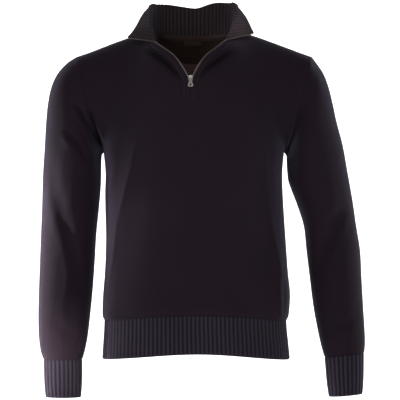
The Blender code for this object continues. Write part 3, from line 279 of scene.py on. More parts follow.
# The run of a panel's columns where they leave the underarm's ring and where they reach the top edge:
# place along the top edge (0 end of the zip, 1 neck seam at the zip or the centre back, 2 neck at the
# shoulder seam, 3 shoulder point), then the run to the side, to the back and up.
FRONT_LEAVE = (
    (0.0, 0.00, 0.000, 0.100), (0.5, 0.00, 0.000, 0.160), (1.0, 0.00, -0.010, 0.220),
    (2.0, 0.00, -0.040, 0.250), (2.5, 0.00, -0.050, 0.220), (2.85, 0.02, -0.120, 0.150),
    (3.0, 0.05, -0.250, 0.050),
)
FRONT_REACH = (
    (0.0, 0.000, 0.008, 0.100), (0.3, -0.080, 0.020, 0.080), (0.5, -0.070, 0.050, 0.090),
    (1.0, -0.040, 0.120, 0.110),
    (1.5, -0.060, 0.140, 0.075), (2.0, -0.055, 0.185, 0.040), (2.5, -0.020, 0.210, 0.035),
    (3.0, 0.020, 0.260, 0.060),
)
BACK_LEAVE = (
    (1.0, 0.00, 0.020, 0.240), (2.0, 0.00, 0.040, 0.240), (2.5, 0.00, 0.050, 0.220),
    (2.85, 0.02, 0.130, 0.150), (3.0, 0.05, 0.270, 0.050),
)
BACK_REACH = (
    (1.0, 0.000, -0.110, 0.150), (1.5, -0.040, -0.140, 0.090), (2.0, -0.070, -0.170, 0.045),
    (2.5, -0.010, -0.200, 0.035), (3.0, 0.020, -0.280, 0.060),
)
# Rings of the sleeves: outer edge x and z, inner edge x and z, middle y, half depth.
# The first ring is the armhole, the last one is where the cuff is joined.
SLEEVE = {
    -1: (
        (-0.2454, -0.0315, -0.1900, -0.2320, 0.004, 0.064),
        (-0.2680, -0.0470, -0.1935, -0.2370, 0.003, 0.066),
        (-0.2868, -0.0690, -0.1942, -0.2430, 0.002, 0.068),
        (-0.2990, -0.0960, -0.1946, -0.2500, 0.001, 0.068),
        (-0.3060, -0.1310, -0.1948, -0.2590, 0.000, 0.067),
        (-0.3100, -0.1730, -0.1950, -0.2700, 0.000, 0.066),
        (-0.3125, -0.2190, -0.1952, -0.2860, 0.000, 0.064),
        (-0.3165, -0.2800, -0.1965, -0.3120, 0.002, 0.061),
        (-0.3182, -0.3400, -0.2000, -0.3500, 0.003, 0.057),
        (-0.3204, -0.3980, -0.2048, -0.3980, 0.002, 0.053),
        (-0.3224, -0.4600, -0.2084, -0.4600, -0.003, 0.049),
        (-0.3240, -0.5180, -0.2122, -0.5180, -0.010, 0.046),
        (-0.3245, -0.5720, -0.2172, -0.5720, -0.018, 0.043),
        (-0.3228, -0.6180, -0.2220, -0.6180, -0.025, 0.039),
        (-0.3190, -0.6470, -0.2272, -0.6470, -0.030, 0.034),
        (-0.3135, -0.6640, -0.2318, -0.6640, -0.032, 0.030),
    ),
    1: (
        (0.2425, -0.0315, 0.1850, -0.2320, 0.004, 0.064),
        (0.2535, -0.0465, 0.1898, -0.2385, 0.003, 0.066),
        (0.2670, -0.0670, 0.1902, -0.2460, 0.002, 0.068),
        (0.2775, -0.0940, 0.1906, -0.2550, 0.001, 0.068),
        (0.2862, -0.1290, 0.1910, -0.2640, 0.000, 0.067),
        (0.2948, -0.1690, 0.1920, -0.2750, 0.000, 0.066),
        (0.3078, -0.2190, 0.1940, -0.2910, 0.000, 0.064),
        (0.3175, -0.2730, 0.2020, -0.3140, 0.002, 0.061),
        (0.3278, -0.3310, 0.2132, -0.3430, 0.003, 0.057),
        (0.3356, -0.3850, 0.2262, -0.3850, 0.002, 0.053),
        (0.3432, -0.4350, 0.2315, -0.4350, -0.003, 0.049),
        (0.3455, -0.4890, 0.2378, -0.4890, -0.010, 0.046),
        (0.3480, -0.5430, 0.2440, -0.5430, -0.018, 0.043),
        (0.3505, -0.5930, 0.2520, -0.5930, -0.025, 0.039),
        (0.3515, -0.6280, 0.2595, -0.6320, -0.030, 0.034),
        (0.3500, -0.6500, 0.2665, -0.6590, -0.032, 0.030),
    ),
}
CUFF_END = {-1: (-0.3080, -0.7370, -0.2350, -0.7370, -0.038, 0.0265),
            1: (0.3455, -0.7300, 0.2760, -0.7360, -0.038, 0.0265)}

# Large folds: part, face, start x and z, end x and z, half width, rise (+) or depth (-).
FOLDS = (
    ("body", -1, -0.123, -0.215, -0.172, -0.505, 0.016, 0.0030),
    ("body", -1, 0.140, -0.220, 0.183, -0.500, 0.016, 0.0030),
    ("body", -1, -0.095, -0.215, -0.150, -0.480, 0.022, -0.0020),
    ("body", -1, 0.112, -0.220, 0.158, -0.480, 0.022, -0.0020),
    ("body", 1, -0.120, -0.200, -0.165, -0.470, 0.018, 0.0028),
    ("body", 1, 0.118, -0.215, 0.160, -0.455, 0.018, 0.0028),
    ("body", 1, -0.060, -0.420, 0.070, -0.450, 0.018, -0.0028),
    ("sleeve", -1, -0.305, -0.250, -0.240, -0.540, 0.017, -0.0060),
    ("sleeve", -1, 0.318, -0.330, 0.252, -0.500, 0.017, -0.0065),
    ("sleeve", 1, -0.300, -0.300, -0.232, -0.470, 0.017, -0.0050),
    ("sleeve", 1, 0.312, -0.280, 0.250, -0.450, 0.017, -0.0050),
    ("sleeve", -1, -0.250, -0.120, -0.205, -0.215, 0.014, -0.0045),
    ("sleeve", 1, 0.245, -0.130, 0.205, -0.225, 0.014, -0.0040),
)
# The collar by place along its seam: 0 at the zip, 1 at the shoulder seam, 2 at the centre back, and the
# same again past it, so that the two halves meet level. Then its height, the share of it below the roll,
# how far the standing cloth leans out, and which way the turned cloth runs: to the side, back and up.
COLLAR = {
    -1: (
        (0.00, 0.0750, 0.00, 0.00, 0.820, 0.580, 0.190),
        (0.50, 0.0710, 0.45, 0.03, 0.720, 0.600, -0.180),
        (1.00, 0.0680, 0.80, 0.03, 0.800, 0.150, -0.540),
        (1.33, 0.0710, 0.98, 0.01, 0.700, -0.100, -0.700),
        (1.67, 0.0700, 1.16, 0.02, 0.300, 0.300, -0.700),
        (2.00, 0.0660, 1.25, 0.02, 0.000, 0.500, -0.500),
        (2.33, 0.0700, 1.16, 0.02, 0.300, 0.300, -0.700),
    ),
    1: (
        (0.00, 0.0750, 0.00, 0.00, 0.860, 0.520, 0.270),
        (0.50, 0.0725, 0.45, 0.02, 0.740, 0.600, -0.100),
        (1.00, 0.0705, 0.80, -0.02, 0.720, 0.150, -0.600),
        (1.33, 0.0735, 0.98, -0.02, 0.700, -0.100, -0.700),
        (1.67, 0.0755, 1.16, 0.02, 0.300, 0.300, -0.700),
        (2.00, 0.0660, 1.25, 0.02, 0.000, 0.500, -0.500),
        (2.33, 0.0755, 1.16, 0.02, 0.300, 0.300, -0.700),
    ),
}


# ---------------------------------------------------------------- numbers
def smooth(rows, at):
    """Columns of a table at the stations: a cubic whose slope at a row comes from its neighbours."""
    rows = np.asarray(rows, float)
    at = np.clip(np.asarray(at, float), rows[0, 0], rows[-1, 0])
    station, value = rows[:, 0], rows[:, 1:]
    slope = np.gradient(value, station, axis=0)
    i = np.clip(np.searchsorted(station, at, side="right") - 1, 0, len(station) - 2)
    h = (station[i + 1] - station[i])[..., None]
    s = (at - station[i])[..., None] / h
    return ((1 + 2 * s) * (1 - s) ** 2 * value[i] + s * (1 - s) ** 2 * h * slope[i]
            + s * s * (3 - 2 * s) * value[i + 1] + s * s * (s - 1) * h * slope[i + 1])


def unit(vectors):
    """Vectors of length one."""
    return vectors / np.maximum(np.linalg.norm(vectors, axis=-1, keepdims=True), 1e-12)


def level(share):
    """A share from 0 to 1 that starts and ends level: three of its squares less two of its cubes."""
    return share * share * (3 - 2 * share)


def run_of(points):
    """Running length along a line of points, starting at 0."""
    return np.concatenate(([0.0], np.cumsum(np.linalg.norm(np.diff(points, axis=0), axis=1))))


def read(at, run, *lines):
    """Lines of points or directions, each read at the same lengths of their common run."""
    return [np.stack([np.interp(at, run, line[:, k]) for k in range(3)], axis=-1) for line in lines]


def spaced(points, steps):
    """A smooth curve through points, cut into equal steps along its length."""
    points = np.asarray(points, float)
    knot = run_of(points)
    fine = smooth(np.column_stack((knot, points)), np.linspace(0.0, knot[-1], LINE_POINTS))
    run = run_of(fine)
    return read(np.linspace(0.0, run[-1], steps + 1), run, fine)[0]


def grid_normals(grid, closed=False):
    """Unit normals of a grid of points: the cross product of its two central differences."""
    down = np.gradient(grid, axis=0)
    if closed:
        across = np.roll(grid, -1, axis=1) - np.roll(grid, 1, axis=1)
    else:
        across = np.gradient(grid, axis=1)
    return unit(np.cross(across, down))


def folds(grid, normals, part):
    """How far soft ridges and troughs move the points along their normals, each fading to its ends."""
    moved = np.zeros_like(grid)
    for name, face, x0, z0, x1, z1, half_width, rise in FOLDS:
        if name != part:
            continue
        start = np.array((x0, z0))
        run = np.array((x1, z1)) - start
        flat = grid[..., (0, 2)] - start
        share = np.clip(flat @ run / (run @ run), 0.0, 1.0)
        gap = np.linalg.norm(flat - share[..., None] * run, axis=-1)
        facing = np.clip(face * normals[..., 1] * FOLD_FACING, 0.0, 1.0)
        lift = rise * np.exp(-(gap / half_width) ** 2) * np.sin(np.pi * share) ** FOLD_END * facing
        moved += lift[..., None] * normals
    return moved


# ---------------------------------------------------------------- form of the body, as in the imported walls
def half_ring(height, face, share):
    """Points of the body's ring at one height: share -1 right side seam, 0 middle, 1 left side seam."""
    right, left, front, back, square = smooth(TORSO, height)
    turn = np.linspace(0.0, np.pi, TURN_POINTS)
    across = -np.sign(np.cos(turn)) * np.abs(np.cos(turn)) ** (2 / square)
    x = (right + left) / 2 + (left - right) / 2 * across
    y = (front if face < 0 else back) * np.abs(np.sin(turn)) ** (2 / square)
    run = np.concatenate(([0.0], np.cumsum(np.hypot(np.diff(x), np.diff(y)))))
    at = (np.asarray(share) + 1) / 2 * run[-1]
    return np.column_stack((np.interp(at, run, x), np.interp(at, run, y), np.full(len(at), height)))


def ring_end(x, face, side_height, rise):
    """Height of the body's lower seam: the front is cut a little shorter in the middle."""
    if face > 0:
        return np.full_like(x, side_height)
    return side_height + rise * np.clip(1 - (x / RISE_SPAN) ** 2, 0, 1)


def top_edge(face):
    """The top edge of a panel from the right shoulder point to the left one, with each point's place."""
    halves = []
    for side in (-1, 1):
        runs = [(spaced(SHOULDER_SEAM[side], SHOULDER_STEPS), 3.0, 2.0)]
        if face < 0:
            runs.append((spaced(FRONT_NECK[side], NECK_STEPS), 2.0, 1.0))
            runs.append((spaced(ZIP_EDGE[side], SLIT_STEPS), 1.0, 0.0))
        else:
            runs.append((spaced(BACK_NECK[side], NECK_STEPS), 2.0, 1.0))
        points = np.concatenate([r[0] if k == 0 else r[0][1:] for k, r in enumerate(runs)])
        place = np.concatenate([np.linspace(r[1], r[2], len(r[0]))[0 if k == 0 else 1:]
                                for k, r in enumerate(runs)])
        halves.append((points, place))
    (right, right_place), (left, left_place) = halves
    skip = 0 if face < 0 else 1
    points = np.concatenate((right, left[::-1][skip:]))
    place = np.concatenate((right_place, left_place[::-1][skip:]))
    side = np.concatenate((np.full(len(right), -1.0), np.full(len(left) - skip, 1.0)))
    return points, place, side


def eased(rows, place):
    """Even out a panel across its columns between the neck or shoulder and the underarm."""
    fade = np.sin(np.linspace(0.0, np.pi, len(rows)))[:, None, None] ** 0.5
    fade = fade * np.clip(2 * place[1:-1] - 1, 0, 1)[:, None]
    for _ in range(EASE_STEPS):
        rows[:, 1:-1] += EASE * fade * (rows[:, :-2] - 2 * rows[:, 1:-1] + rows[:, 2:])
    return rows


def panel_grid(face):
    """Outer points of the front or back: rows from the top edge down to the hem, columns right to left."""
    top, place, side = top_edge(face)
    run = run_of(top)
    share = 2 * run / run[-1] - 1
    base = half_ring(UNDERARM, face, share)
    leave = smooth(FRONT_LEAVE if face < 0 else BACK_LEAVE, place)
    reach = smooth(FRONT_REACH if face < 0 else BACK_REACH, place)
    leave[:, 0] *= side
    reach[:, 0] *= side
    t = np.linspace(1.0, 0.0, UPPER_ROWS + 1)[:, None, None]
    upper = ((1 + 2 * t) * (1 - t) ** 2 * base + t * (1 - t) ** 2 * leave
             + t * t * (3 - 2 * t) * top + t * t * (t - 1) * reach)
    lower = []
    for step in np.append(np.linspace(0.0, BLOUSE_SHARE, LOWER_ROWS)[1:], 1.0):
        row = half_ring(UNDERARM + (BODY_END - UNDERARM) * step, face, share)
        end = ring_end(row[:, 0], face, BODY_END, BODY_END_RISE)
        row[:, 2] = UNDERARM + (end - UNDERARM) * step
        lower.append(row)
    return np.concatenate((eased(upper, place), np.array(lower)))


# ---------------------------------------------------------------- sleeves and cuffs
def sleeve_ring(row, turn):
    """An ellipse in the plane of a ring's outer edge, inner edge and depth; turn 0 is the outer edge."""
    outer = np.array((row[0], row[4], row[1]))
    inner = np.array((row[2], row[4], row[3]))
    middle = (outer + inner) / 2
    depth = np.array((0.0, row[5], 0.0))
    return middle + np.cos(turn)[:, None] * (outer - middle) + np.sin(turn)[:, None] * depth


def sleeve_grid(side, armhole):
    """Outer points of a sleeve: rows from the armhole to the cuff, columns round from the underarm."""
    turn = np.linspace(np.pi, 3 * np.pi, 2 * UPPER_ROWS + 1)[:-1]
    rows = np.array([sleeve_ring(row, turn) for row in SLEEVE[side]])
    extra = armhole - rows[0]
    fade = np.clip(1 - np.arange(len(rows)) / ARMHOLE_FADE, 0, 1) ** 1.5
    return rows + fade[:, None, None] * extra


def outward(grid, normals):
    """Normals of a tube, turned to point away from the middle of its rows."""
    middle = grid.mean(axis=1, keepdims=True)
    return normals * np.sign(np.sum((grid - middle) * normals))


def away_from_neck(points):
    """Level unit directions square to the neck seam, pointing away from the neck."""
    run = np.gradient(points, axis=0)
    return unit(np.column_stack((-run[:, 1], run[:, 0], np.zeros(len(run)))))


def turned_length(past):
    """Length of cloth beyond the roll, in a smooth ramp where the cloth rolls over."""
    ramp = (past + ROLL) ** 2 / (4 * ROLL)
    return np.where(past > ROLL, past, np.where(past < -ROLL, 0.0, ramp))


# ---------------------------------------------------------------- fine grids
def curve(points, at):
    """Cubic curves through rows of points, read at the given stations: 0 is the first row, 1 the next."""
    station = np.arange(len(points), dtype=float)
    rows = np.column_stack((station, points.reshape(len(points), -1)))
    return smooth(rows, at).reshape(-1, *points.shape[1:])


def refined(grid, row_stations, closed=False):
    """The same surface on a finer grid: cubic curves along its columns, then along its rows."""
    across = curve(grid, row_stations).transpose(1, 0, 2)
    if closed:
        stations = 2 + np.arange(len(across) * FINE) / FINE
        return curve(np.concatenate((across[-2:], across, across[:3])), stations).transpose(1, 0, 2)
    return curve(across, np.arange((len(across) - 1) * FINE + 1) / FINE).transpose(1, 0, 2)


def pull_edge(grid, target, depth):
    """Move a grid's first row onto a line, and the rows behind it less and less."""
    fade = np.clip(1 - np.arange(len(grid)) / depth, 0, 1)[:, None, None] ** 2
    grid += fade * (target - grid[0])


def lengths(grid, axis):
    """Running length of a grid's lines along one axis, starting at 0."""
    step = np.linalg.norm(np.diff(grid, axis=axis), axis=-1)
    start = np.zeros_like(np.take(step, [0], axis=axis))
    return np.concatenate((start, np.cumsum(step, axis=axis)), axis=axis)


def body_grids():
    """Fine outer points of front and back: rows from the top edge down, columns from right to left."""
    grids = []
    for face in (-1, 1):
        coarse = panel_grid(face)
        inside = np.ones(coarse.shape[:2])
        inside[0] = inside[:, 0] = inside[:, -1] = 0.0
        coarse += inside[..., None] * folds(coarse, face * grid_normals(coarse), "body")
        grids.append(refined(coarse, np.arange((len(coarse) - 1) * FINE + 1) / FINE))
    front, back = grids
    seam = back[0].copy()
    for shoulder in (slice(SHOULDER_COLUMN + 1), slice(-SHOULDER_COLUMN - 1, None)):
        seam[shoulder] = front[0, shoulder]
    pull_edge(back, seam, 2 * FINE)
    for column in (0, -1):
        side = back[:, column].copy()
        side[UNDER_ROW:] = front[UNDER_ROW:, column]
        pull_edge(back.transpose(1, 0, 2)[::1 if column == 0 else -1], side, 2 * FINE)
    return front, back


def armhole_of(front, back, column):
    """The armhole's points through both panels, from the underarm up the front and down the back."""
    return np.concatenate((front[UNDER_ROW::-1, column], back[1:UNDER_ROW, column]))


def fine_sleeve(side, front, back, column):
    """Fine outer points of a sleeve, joined to the armhole point by point."""
    coarse = sleeve_grid(side, armhole_of(front, back, column)[::FINE])
    normals = outward(coarse, grid_normals(coarse, closed=True))
    coarse[2:] += folds(coarse, normals, "sleeve")[2:]
    last = len(coarse) - 1
    stations = np.concatenate((np.arange(0, CLOSE_RINGS, 1 / CLOSE_FINE),
                               np.arange(CLOSE_RINGS, last, 1 / SLEEVE_FINE), (last,)))
    grid = refined(coarse, stations, closed=True)
    pull_edge(grid, armhole_of(front, back, column), 2 * CLOSE_FINE)
    near = np.clip(1 - (grid[..., 2] - grid[-1, :, 2].mean()) / CUFF_FADE, 0, 1)
    grid[..., 2] += CUFF_RAISE * level(near)
    return grid


# ---------------------------------------------------------------- creases
# Where a crease runs in front view: face (-1 front, 1 back), points x and z, half width, rise (+ ridge,
# - trough) and, for a fold, the share of that width on the left of the line's run, where it may be
# steeper, and how much painted shade darkens its bottom.
CREASES = (
    # the front's side ridges, where it turns to the side
    (-1, ((-0.121, -0.215), (-0.134, -0.275), (-0.160, -0.385), (-0.172, -0.475), (-0.183, -0.530),
          (-0.1835, -0.575)), 0.0046, 0.0032),
    (-1, ((-0.137, -0.205), (-0.152, -0.262), (-0.176, -0.360), (-0.180, -0.430)), 0.0110, -0.0022),
    (-1, ((0.143, -0.225), (0.150, -0.330), (0.167, -0.425), (0.180, -0.480), (0.188, -0.520)),
     0.0048, 0.0030),
    (-1, ((0.160, -0.250), (0.166, -0.340), (0.182, -0.430), (0.189, -0.480)), 0.0100, -0.0020),
    (-1, ((0.174, -0.265), (0.163, -0.300)), 0.0070, 0.0018),
    (-1, ((0.1745, -0.470), (0.1755, -0.520), (0.1770, -0.575)), 0.0045, 0.0028),
    (-1, ((0.1830, -0.490), (0.1832, -0.525), (0.1822, -0.575)), 0.0036, -0.0028),
    # at the right armpit: slanting creases beside the armhole, steep on the body's side, with painted shade
    # at their bottoms
    (-1, ((-0.219, -0.140), (-0.207, -0.172), (-0.195, -0.205), (-0.187, -0.229), (-0.1835, -0.245)),
     0.0050, -0.0110, 0.60, 1.0),
    (-1, ((-0.226, -0.130), (-0.213, -0.168), (-0.201, -0.205)), 0.0045, 0.0030),
    (-1, ((-0.2474, -0.128), (-0.2265, -0.166), (-0.200, -0.212)), 0.0052, -0.0075, 0.60, 0.25),
    (-1, ((-0.2555, -0.136), (-0.235, -0.170), (-0.213, -0.205)), 0.0060, 0.0030),
    (-1, ((-0.266, -0.185), (-0.241, -0.214), (-0.220, -0.254)), 0.0080, -0.0048, 0.60, 0.20),
    (-1, ((-0.274, -0.197), (-0.249, -0.233)), 0.0080, 0.0030),
    (-1, ((-0.209, -0.165), (-0.2035, -0.190), (-0.199, -0.212), (-0.194, -0.236), (-0.196, -0.262)),
     0.0125, -0.0030, 0.30, 0.85),
    # at the left armhole: deep on the sleeve's side, steep on the body's side, from the sleeve up, with
    # painted shade in it
    (-1, ((0.209, -0.305), (0.1985, -0.265), (0.195, -0.229), (0.207, -0.1825), (0.2195, -0.134)),
     0.0160, -0.0080, 0.25, 0.40),
    (-1, ((0.2050, -0.128), (0.193, -0.178), (0.180, -0.222)), 0.0100, 0.0036),
    # long soft troughs of the sleeves
    (-1, ((-0.312, -0.250), (-0.293, -0.362), (-0.264, -0.460), (-0.254, -0.540)), 0.0120, 0.0042),
    (-1, ((-0.285, -0.322), (-0.272, -0.362), (-0.241, -0.460), (-0.231, -0.520)), 0.0100, -0.0024),
    (-1, ((0.306, -0.345), (0.282, -0.400), (0.256, -0.462), (0.246, -0.510)), 0.0120, -0.0070),
    (-1, ((0.318, -0.355), (0.296, -0.412), (0.270, -0.474)), 0.0080, 0.0026),
    (-1, ((-0.300, -0.575), (-0.262, -0.600), (-0.240, -0.606)), 0.0100, -0.0022),
    (-1, ((0.340, -0.560), (0.300, -0.588), (0.270, -0.590)), 0.0100, -0.0020),
    # outside the facing bands, where the cloth turns out: troughs, most with painted shadow
    (-1, ((-0.102, -0.022), (-0.0803, -0.0345), (-0.0505, -0.060), (-0.0245, -0.088)),
     0.0070, -0.0034, 1.0, 0.90),
    (-1, ((-0.106, -0.021), (-0.0803, -0.0350), (-0.0600, -0.0515)), 0.0090, -0.0008, 1.0, 0.72),
    (-1, ((0.082, -0.030), (0.045, -0.058), (0.0130, -0.090)), 0.0070, -0.0022),
    (-1, ((0.095, -0.020), (0.0700, -0.0310), (0.0480, -0.0465), (0.0240, -0.0650), (0.0070, -0.0850)),
     0.0074, -0.0008, 1.0, 0.95),
    # small ones of the chest and under the zip
    (-1, ((-0.030, -0.280), (-0.050, -0.330)), 0.0120, 0.0014),
    (-1, ((-0.110, -0.090), (-0.060, -0.135)), 0.0160, 0.0014),
    (-1, ((0.095, -0.090), (0.045, -0.140)), 0.0160, 0.0014),
    (-1, ((-0.145, -0.192), (-0.135, -0.215)), 0.0080, 0.0014),
    # the back: pull across the shoulders, hollow of the back, side ridges
    (1, ((-0.120, -0.190), (-0.150, -0.300), (-0.168, -0.420)), 0.0080, 0.0026),
    (1, ((0.118, -0.200), (0.148, -0.320), (0.166, -0.430)), 0.0080, 0.0026),
    (1, ((-0.225, -0.110), (-0.205, -0.160), (-0.186, -0.210)), 0.0070, 0.0036),
    (1, ((-0.240, -0.130), (-0.216, -0.180), (-0.196, -0.222)), 0.0080, -0.0030),
    (1, ((0.225, -0.115), (0.205, -0.165), (0.187, -0.212)), 0.0070, 0.0034),
    (1, ((0.242, -0.135), (0.220, -0.185), (0.200, -0.226)), 0.0080, -0.0030),
    (1, ((-0.120, -0.455), (-0.040, -0.470), (0.060, -0.462), (0.125, -0.440)), 0.0120, -0.0026),
    (1, ((-0.100, -0.505), (0.000, -0.520), (0.110, -0.498)), 0.0120, -0.0020),
    (1, ((-0.110, -0.480), (0.000, -0.494), (0.115, -0.470)), 0.0090, 0.0018),
    (1, ((-0.300, -0.300), (-0.262, -0.380), (-0.238, -0.470)), 0.0130, -0.0035),
    (1, ((0.312, -0.300), (0.284, -0.380), (0.254, -0.460)), 0.0130, -0.0035),
)
SIDE_FADE = 0.030        # a crease of one face is gone this far round to the other


def crease_offsets(points):
    """Depth of all creases at any points, as a move to front or back, and what painted fold shade leaves of
    the colour.

    One crease is rise * exp(-(d / width) ** 2) * sin(pi * place) ** CREASE_END, with d the distance to its
    line in front view, width narrower on its steep side and place the share of its length. It depends on
    the point alone, so pieces that share a seam move together. At a fold's bottom the second result is
    lower by the fold's painted shade, on the open cloth it is 1.
    """
    moved, colour_after_fold_shade = np.zeros(points.shape), np.ones(points.shape[:-1])
    flat = points[..., (0, 2)]
    for face, line, width, rise, *fold in CREASES:
        line = spaced([(x, 0.0, z) for x, z in line], CREASE_STEPS)[:, (0, 2)]
        near = np.full(points.shape[:-1], np.inf)
        place, left = np.zeros((2, *points.shape[:-1]))
        for k, (start, end) in enumerate(zip(line[:-1], line[1:])):
            run, out = end - start, flat - start
            share = np.clip(out @ run / (run @ run), 0.0, 1.0)
            gap = np.linalg.norm(out - share[..., None] * run, axis=-1)
            closer = gap < near
            near, place = np.where(closer, gap, near), np.where(closer, (k + share) / CREASE_STEPS, place)
            left = np.where(closer, run[0] * out[..., 1] - run[1] * out[..., 0], left)
        width = np.where(left > 0, width * (fold[0] if fold else 1.0), width)
        side = level(np.clip(0.5 + face * points[..., 1] / SIDE_FADE, 0.0, 1.0))
        depth = np.exp(-(near / width) ** 2) * np.sin(np.pi * place) ** CREASE_END * side
        moved[..., 1] += face * rise * depth
        if fold:
            # painted shade at the bottom of a fold
            colour_after_fold_shade *= 1 - fold[1] * depth ** FOLD_FOCUS
    return moved, colour_after_fold_shade


# ---------------------------------------------------------------- meshes
def link(name, data):
    """A new object of the scene, unturned at the origin."""
    obj = bpy.data.objects.new(name, data)
    bpy.context.scene.collection.objects.link(obj)
    return obj


def put_mesh(name, points, faces, finishes, uv=None, face_finish=None, rise=None, sharp=60):
    """A mesh piece, with its cloth coordinates and each point's "rise": a rib's height for painted ridge
    light, or the colour share left by painted fold shade.
    """
    mesh = bpy.data.meshes.new(name)
    mesh.from_pydata(points.reshape(-1, 3).tolist(), [], faces.tolist())
    for finish in finishes:
        mesh.materials.append(finish)
    if face_finish is not None:
        mesh.polygons.foreach_set("material_index", face_finish.astype(np.int32))
    if uv is not None:
        corner = np.empty(len(mesh.loops), np.int32)
        mesh.loops.foreach_get("vertex_index", corner)
        layer = mesh.uv_layers.new(name="cloth")
        layer.data.foreach_set("uv", uv.reshape(-1, 2)[corner].astype(np.float32).ravel())
    if rise is not None:
        values = mesh.attributes.new("rise", "FLOAT", "POINT").data
        values.foreach_set("value", rise.astype(np.float32).ravel())
    mesh.shade_smooth()
    mesh.set_sharp_from_angle(angle=math.radians(sharp))
    return link(name, mesh)


def grid_faces(number):
    """Four-sided faces between the neighbours of a grid of point numbers."""
    return np.stack((number[:-1, :-1], number[:-1, 1:], number[1:, 1:], number[1:, :-1]), -1).reshape(-1, 4)


def wall(name, outer, inner, finishes, uv, closed=False, rise=None):
    """A closed wall between an outer and an inner grid of points, the inner face in the second finish."""
    rows, columns = outer.shape[:2]
    number = np.arange(rows * columns).reshape(rows, columns)
    if closed:
        number = np.column_stack((number, number[:, :1]))
    face = grid_faces(number)
    under = rows * columns
    edges = [number[0, ::-1], number[-1]]
    if not closed:
        edges += [number[:, 0], number[::-1, -1]]
    rims = [np.stack((e[:-1], e[1:], e[1:] + under, e[:-1] + under), -1) for e in edges]
    faces = np.concatenate([face, face[:, ::-1] + under] + rims)
    points = np.concatenate((outer.reshape(-1, 3), inner.reshape(-1, 3)))
    middle = outer[rows // 2, columns // 2] - inner[rows // 2, columns // 2]
    first = face[(rows // 2) * (number.shape[1] - 1) + columns // 2]
    p = points[first]
    if np.dot(np.cross(p[1] - p[0], p[2] - p[0]), middle) < 0:
        faces = faces[:, ::-1]
    both = np.zeros(len(faces), int)
    both[len(face):2 * len(face)] = len(finishes) - 1
    uv = np.tile(uv.reshape(-1, 2), (2, 1))
    if rise is not None:
        rise = np.tile(rise.ravel(), 2)
    return put_mesh(name, points, faces, finishes, uv, both, rise)


def seam_roll(grid, normals, edges):
    """The grid with its cloth rounded down where it enters a seam, along the named edges."""
    row, column = np.indices(grid.shape[:2])
    away = {"top": row, "first": column, "last": column[:, ::-1]}
    near = np.min([away[edge] for edge in edges], axis=0)
    dip = SEAM_ROLL * np.clip(1 - near / SEAM_STEPS, 0, 1) ** 2
    return grid - dip[..., None] * normals


# ---------------------------------------------------------------- materials
def group(name, inputs, outputs):
    """A new shader node group with named number, vector or colour sockets."""
    tree = bpy.data.node_groups.new(name, "ShaderNodeTree")
    kinds = {"value": "NodeSocketFloat", "vector": "NodeSocketVector", "colour": "NodeSocketColor"}
    for label, kind, default in inputs:
        socket = tree.interface.new_socket(label, in_out="INPUT", socket_type=kinds[kind])
        if default is not None:
            socket.default_value = default
    for label, kind in outputs:
        tree.interface.new_socket(label, in_out="OUTPUT", socket_type=kinds[kind])
    return tree, tree.nodes.new("NodeGroupInput"), tree.nodes.new("NodeGroupOutput")


class Maker:
    """Adds nodes to a tree in short calls."""

    def __init__(self, tree):
        self.tree = tree

    def join(self, value, socket):
        """Link an output to a socket, or set the socket's own value."""
        if isinstance(value, bpy.types.NodeSocket):
            self.tree.links.new(value, socket)
        else:
            socket.default_value = value

    def math(self, operation, *values):
        """A Math node's result."""
        node = self.tree.nodes.new("ShaderNodeMath")
        node.operation = operation
        for value, socket in zip(values, node.inputs):
            self.join(value, socket)
        return node.outputs[0]

    def line(self, value, slope, start):
        """A value times a slope plus a start."""
        return self.math("ADD", self.math("MULTIPLY", value, slope), start)

    def mix(self, share, first, second):
        """A colour between two colours."""
        node = self.tree.nodes.new("ShaderNodeMix")
        node.data_type = "RGBA"
        for value, socket in ((share, node.inputs[0]), (first, node.inputs[6]), (second, node.inputs[7])):
            self.join(value, socket)
        return node.outputs[2]

    def noise(self, vector, scale, detail=2.0, rough=0.5):
        """A noise texture's value."""
        node = self.tree.nodes.new("ShaderNodeTexNoise")
        self.join(vector, node.inputs["Vector"])
        node.inputs["Scale"].default_value = scale
        node.inputs["Detail"].default_value = detail
        node.inputs["Roughness"].default_value = rough
        return node.outputs[0]

    def place(self, tree, **values):
        """A node group with its inputs joined by name, underscores for spaces."""
        node = self.tree.nodes.new("ShaderNodeGroup")
        node.node_tree = tree
        for label, value in values.items():
            self.join(value, node.inputs[label.replace("_", " ")])
        return node

    def bump(self, height, strength, distance):
        """A Bump node's normal."""
        node = self.tree.nodes.new("ShaderNodeBump")
        node.inputs["Strength"].default_value = strength
        node.inputs["Distance"].default_value = distance
        self.join(height, node.inputs["Height"])
        return node.outputs[0]


def knit_group():
    """Plain knit: columns of V stitches. Height is the round of a yarn leg, slanted in each half stitch."""
    inputs = (("Cloth", "vector", None), ("Stitch Width", "value", 0.0017),
              ("Stitch Height", "value", 0.0013))
    tree, given, put = group("plain_knit", inputs, (("Height", "value"), ("Shade", "value")))
    m = Maker(tree)
    split = tree.nodes.new("ShaderNodeSeparateXYZ")
    m.join(given.outputs["Cloth"], split.inputs[0])
    across = m.math("DIVIDE", split.outputs[0], given.outputs["Stitch Width"])
    along = m.math("DIVIDE", split.outputs[1], given.outputs["Stitch Height"])
    half = m.math("ABSOLUTE", m.math("SUBTRACT", m.math("FRACT", across), 0.5))
    leg = m.math("SINE", m.math("MULTIPLY", half, 2 * math.pi))
    slant = m.math("FRACT", m.math("ADD", along, m.math("MULTIPLY", half, LEG_SLANT)))
    loop = m.math("SINE", m.math("MULTIPLY", slant, math.pi))
    height = m.math("MULTIPLY", m.math("ABSOLUTE", leg), m.line(loop, *LOOP_LINE))
    m.join(height, put.inputs["Height"])
    m.join(m.line(height, *SHADE_LINE), put.inputs["Shade"])
    return tree


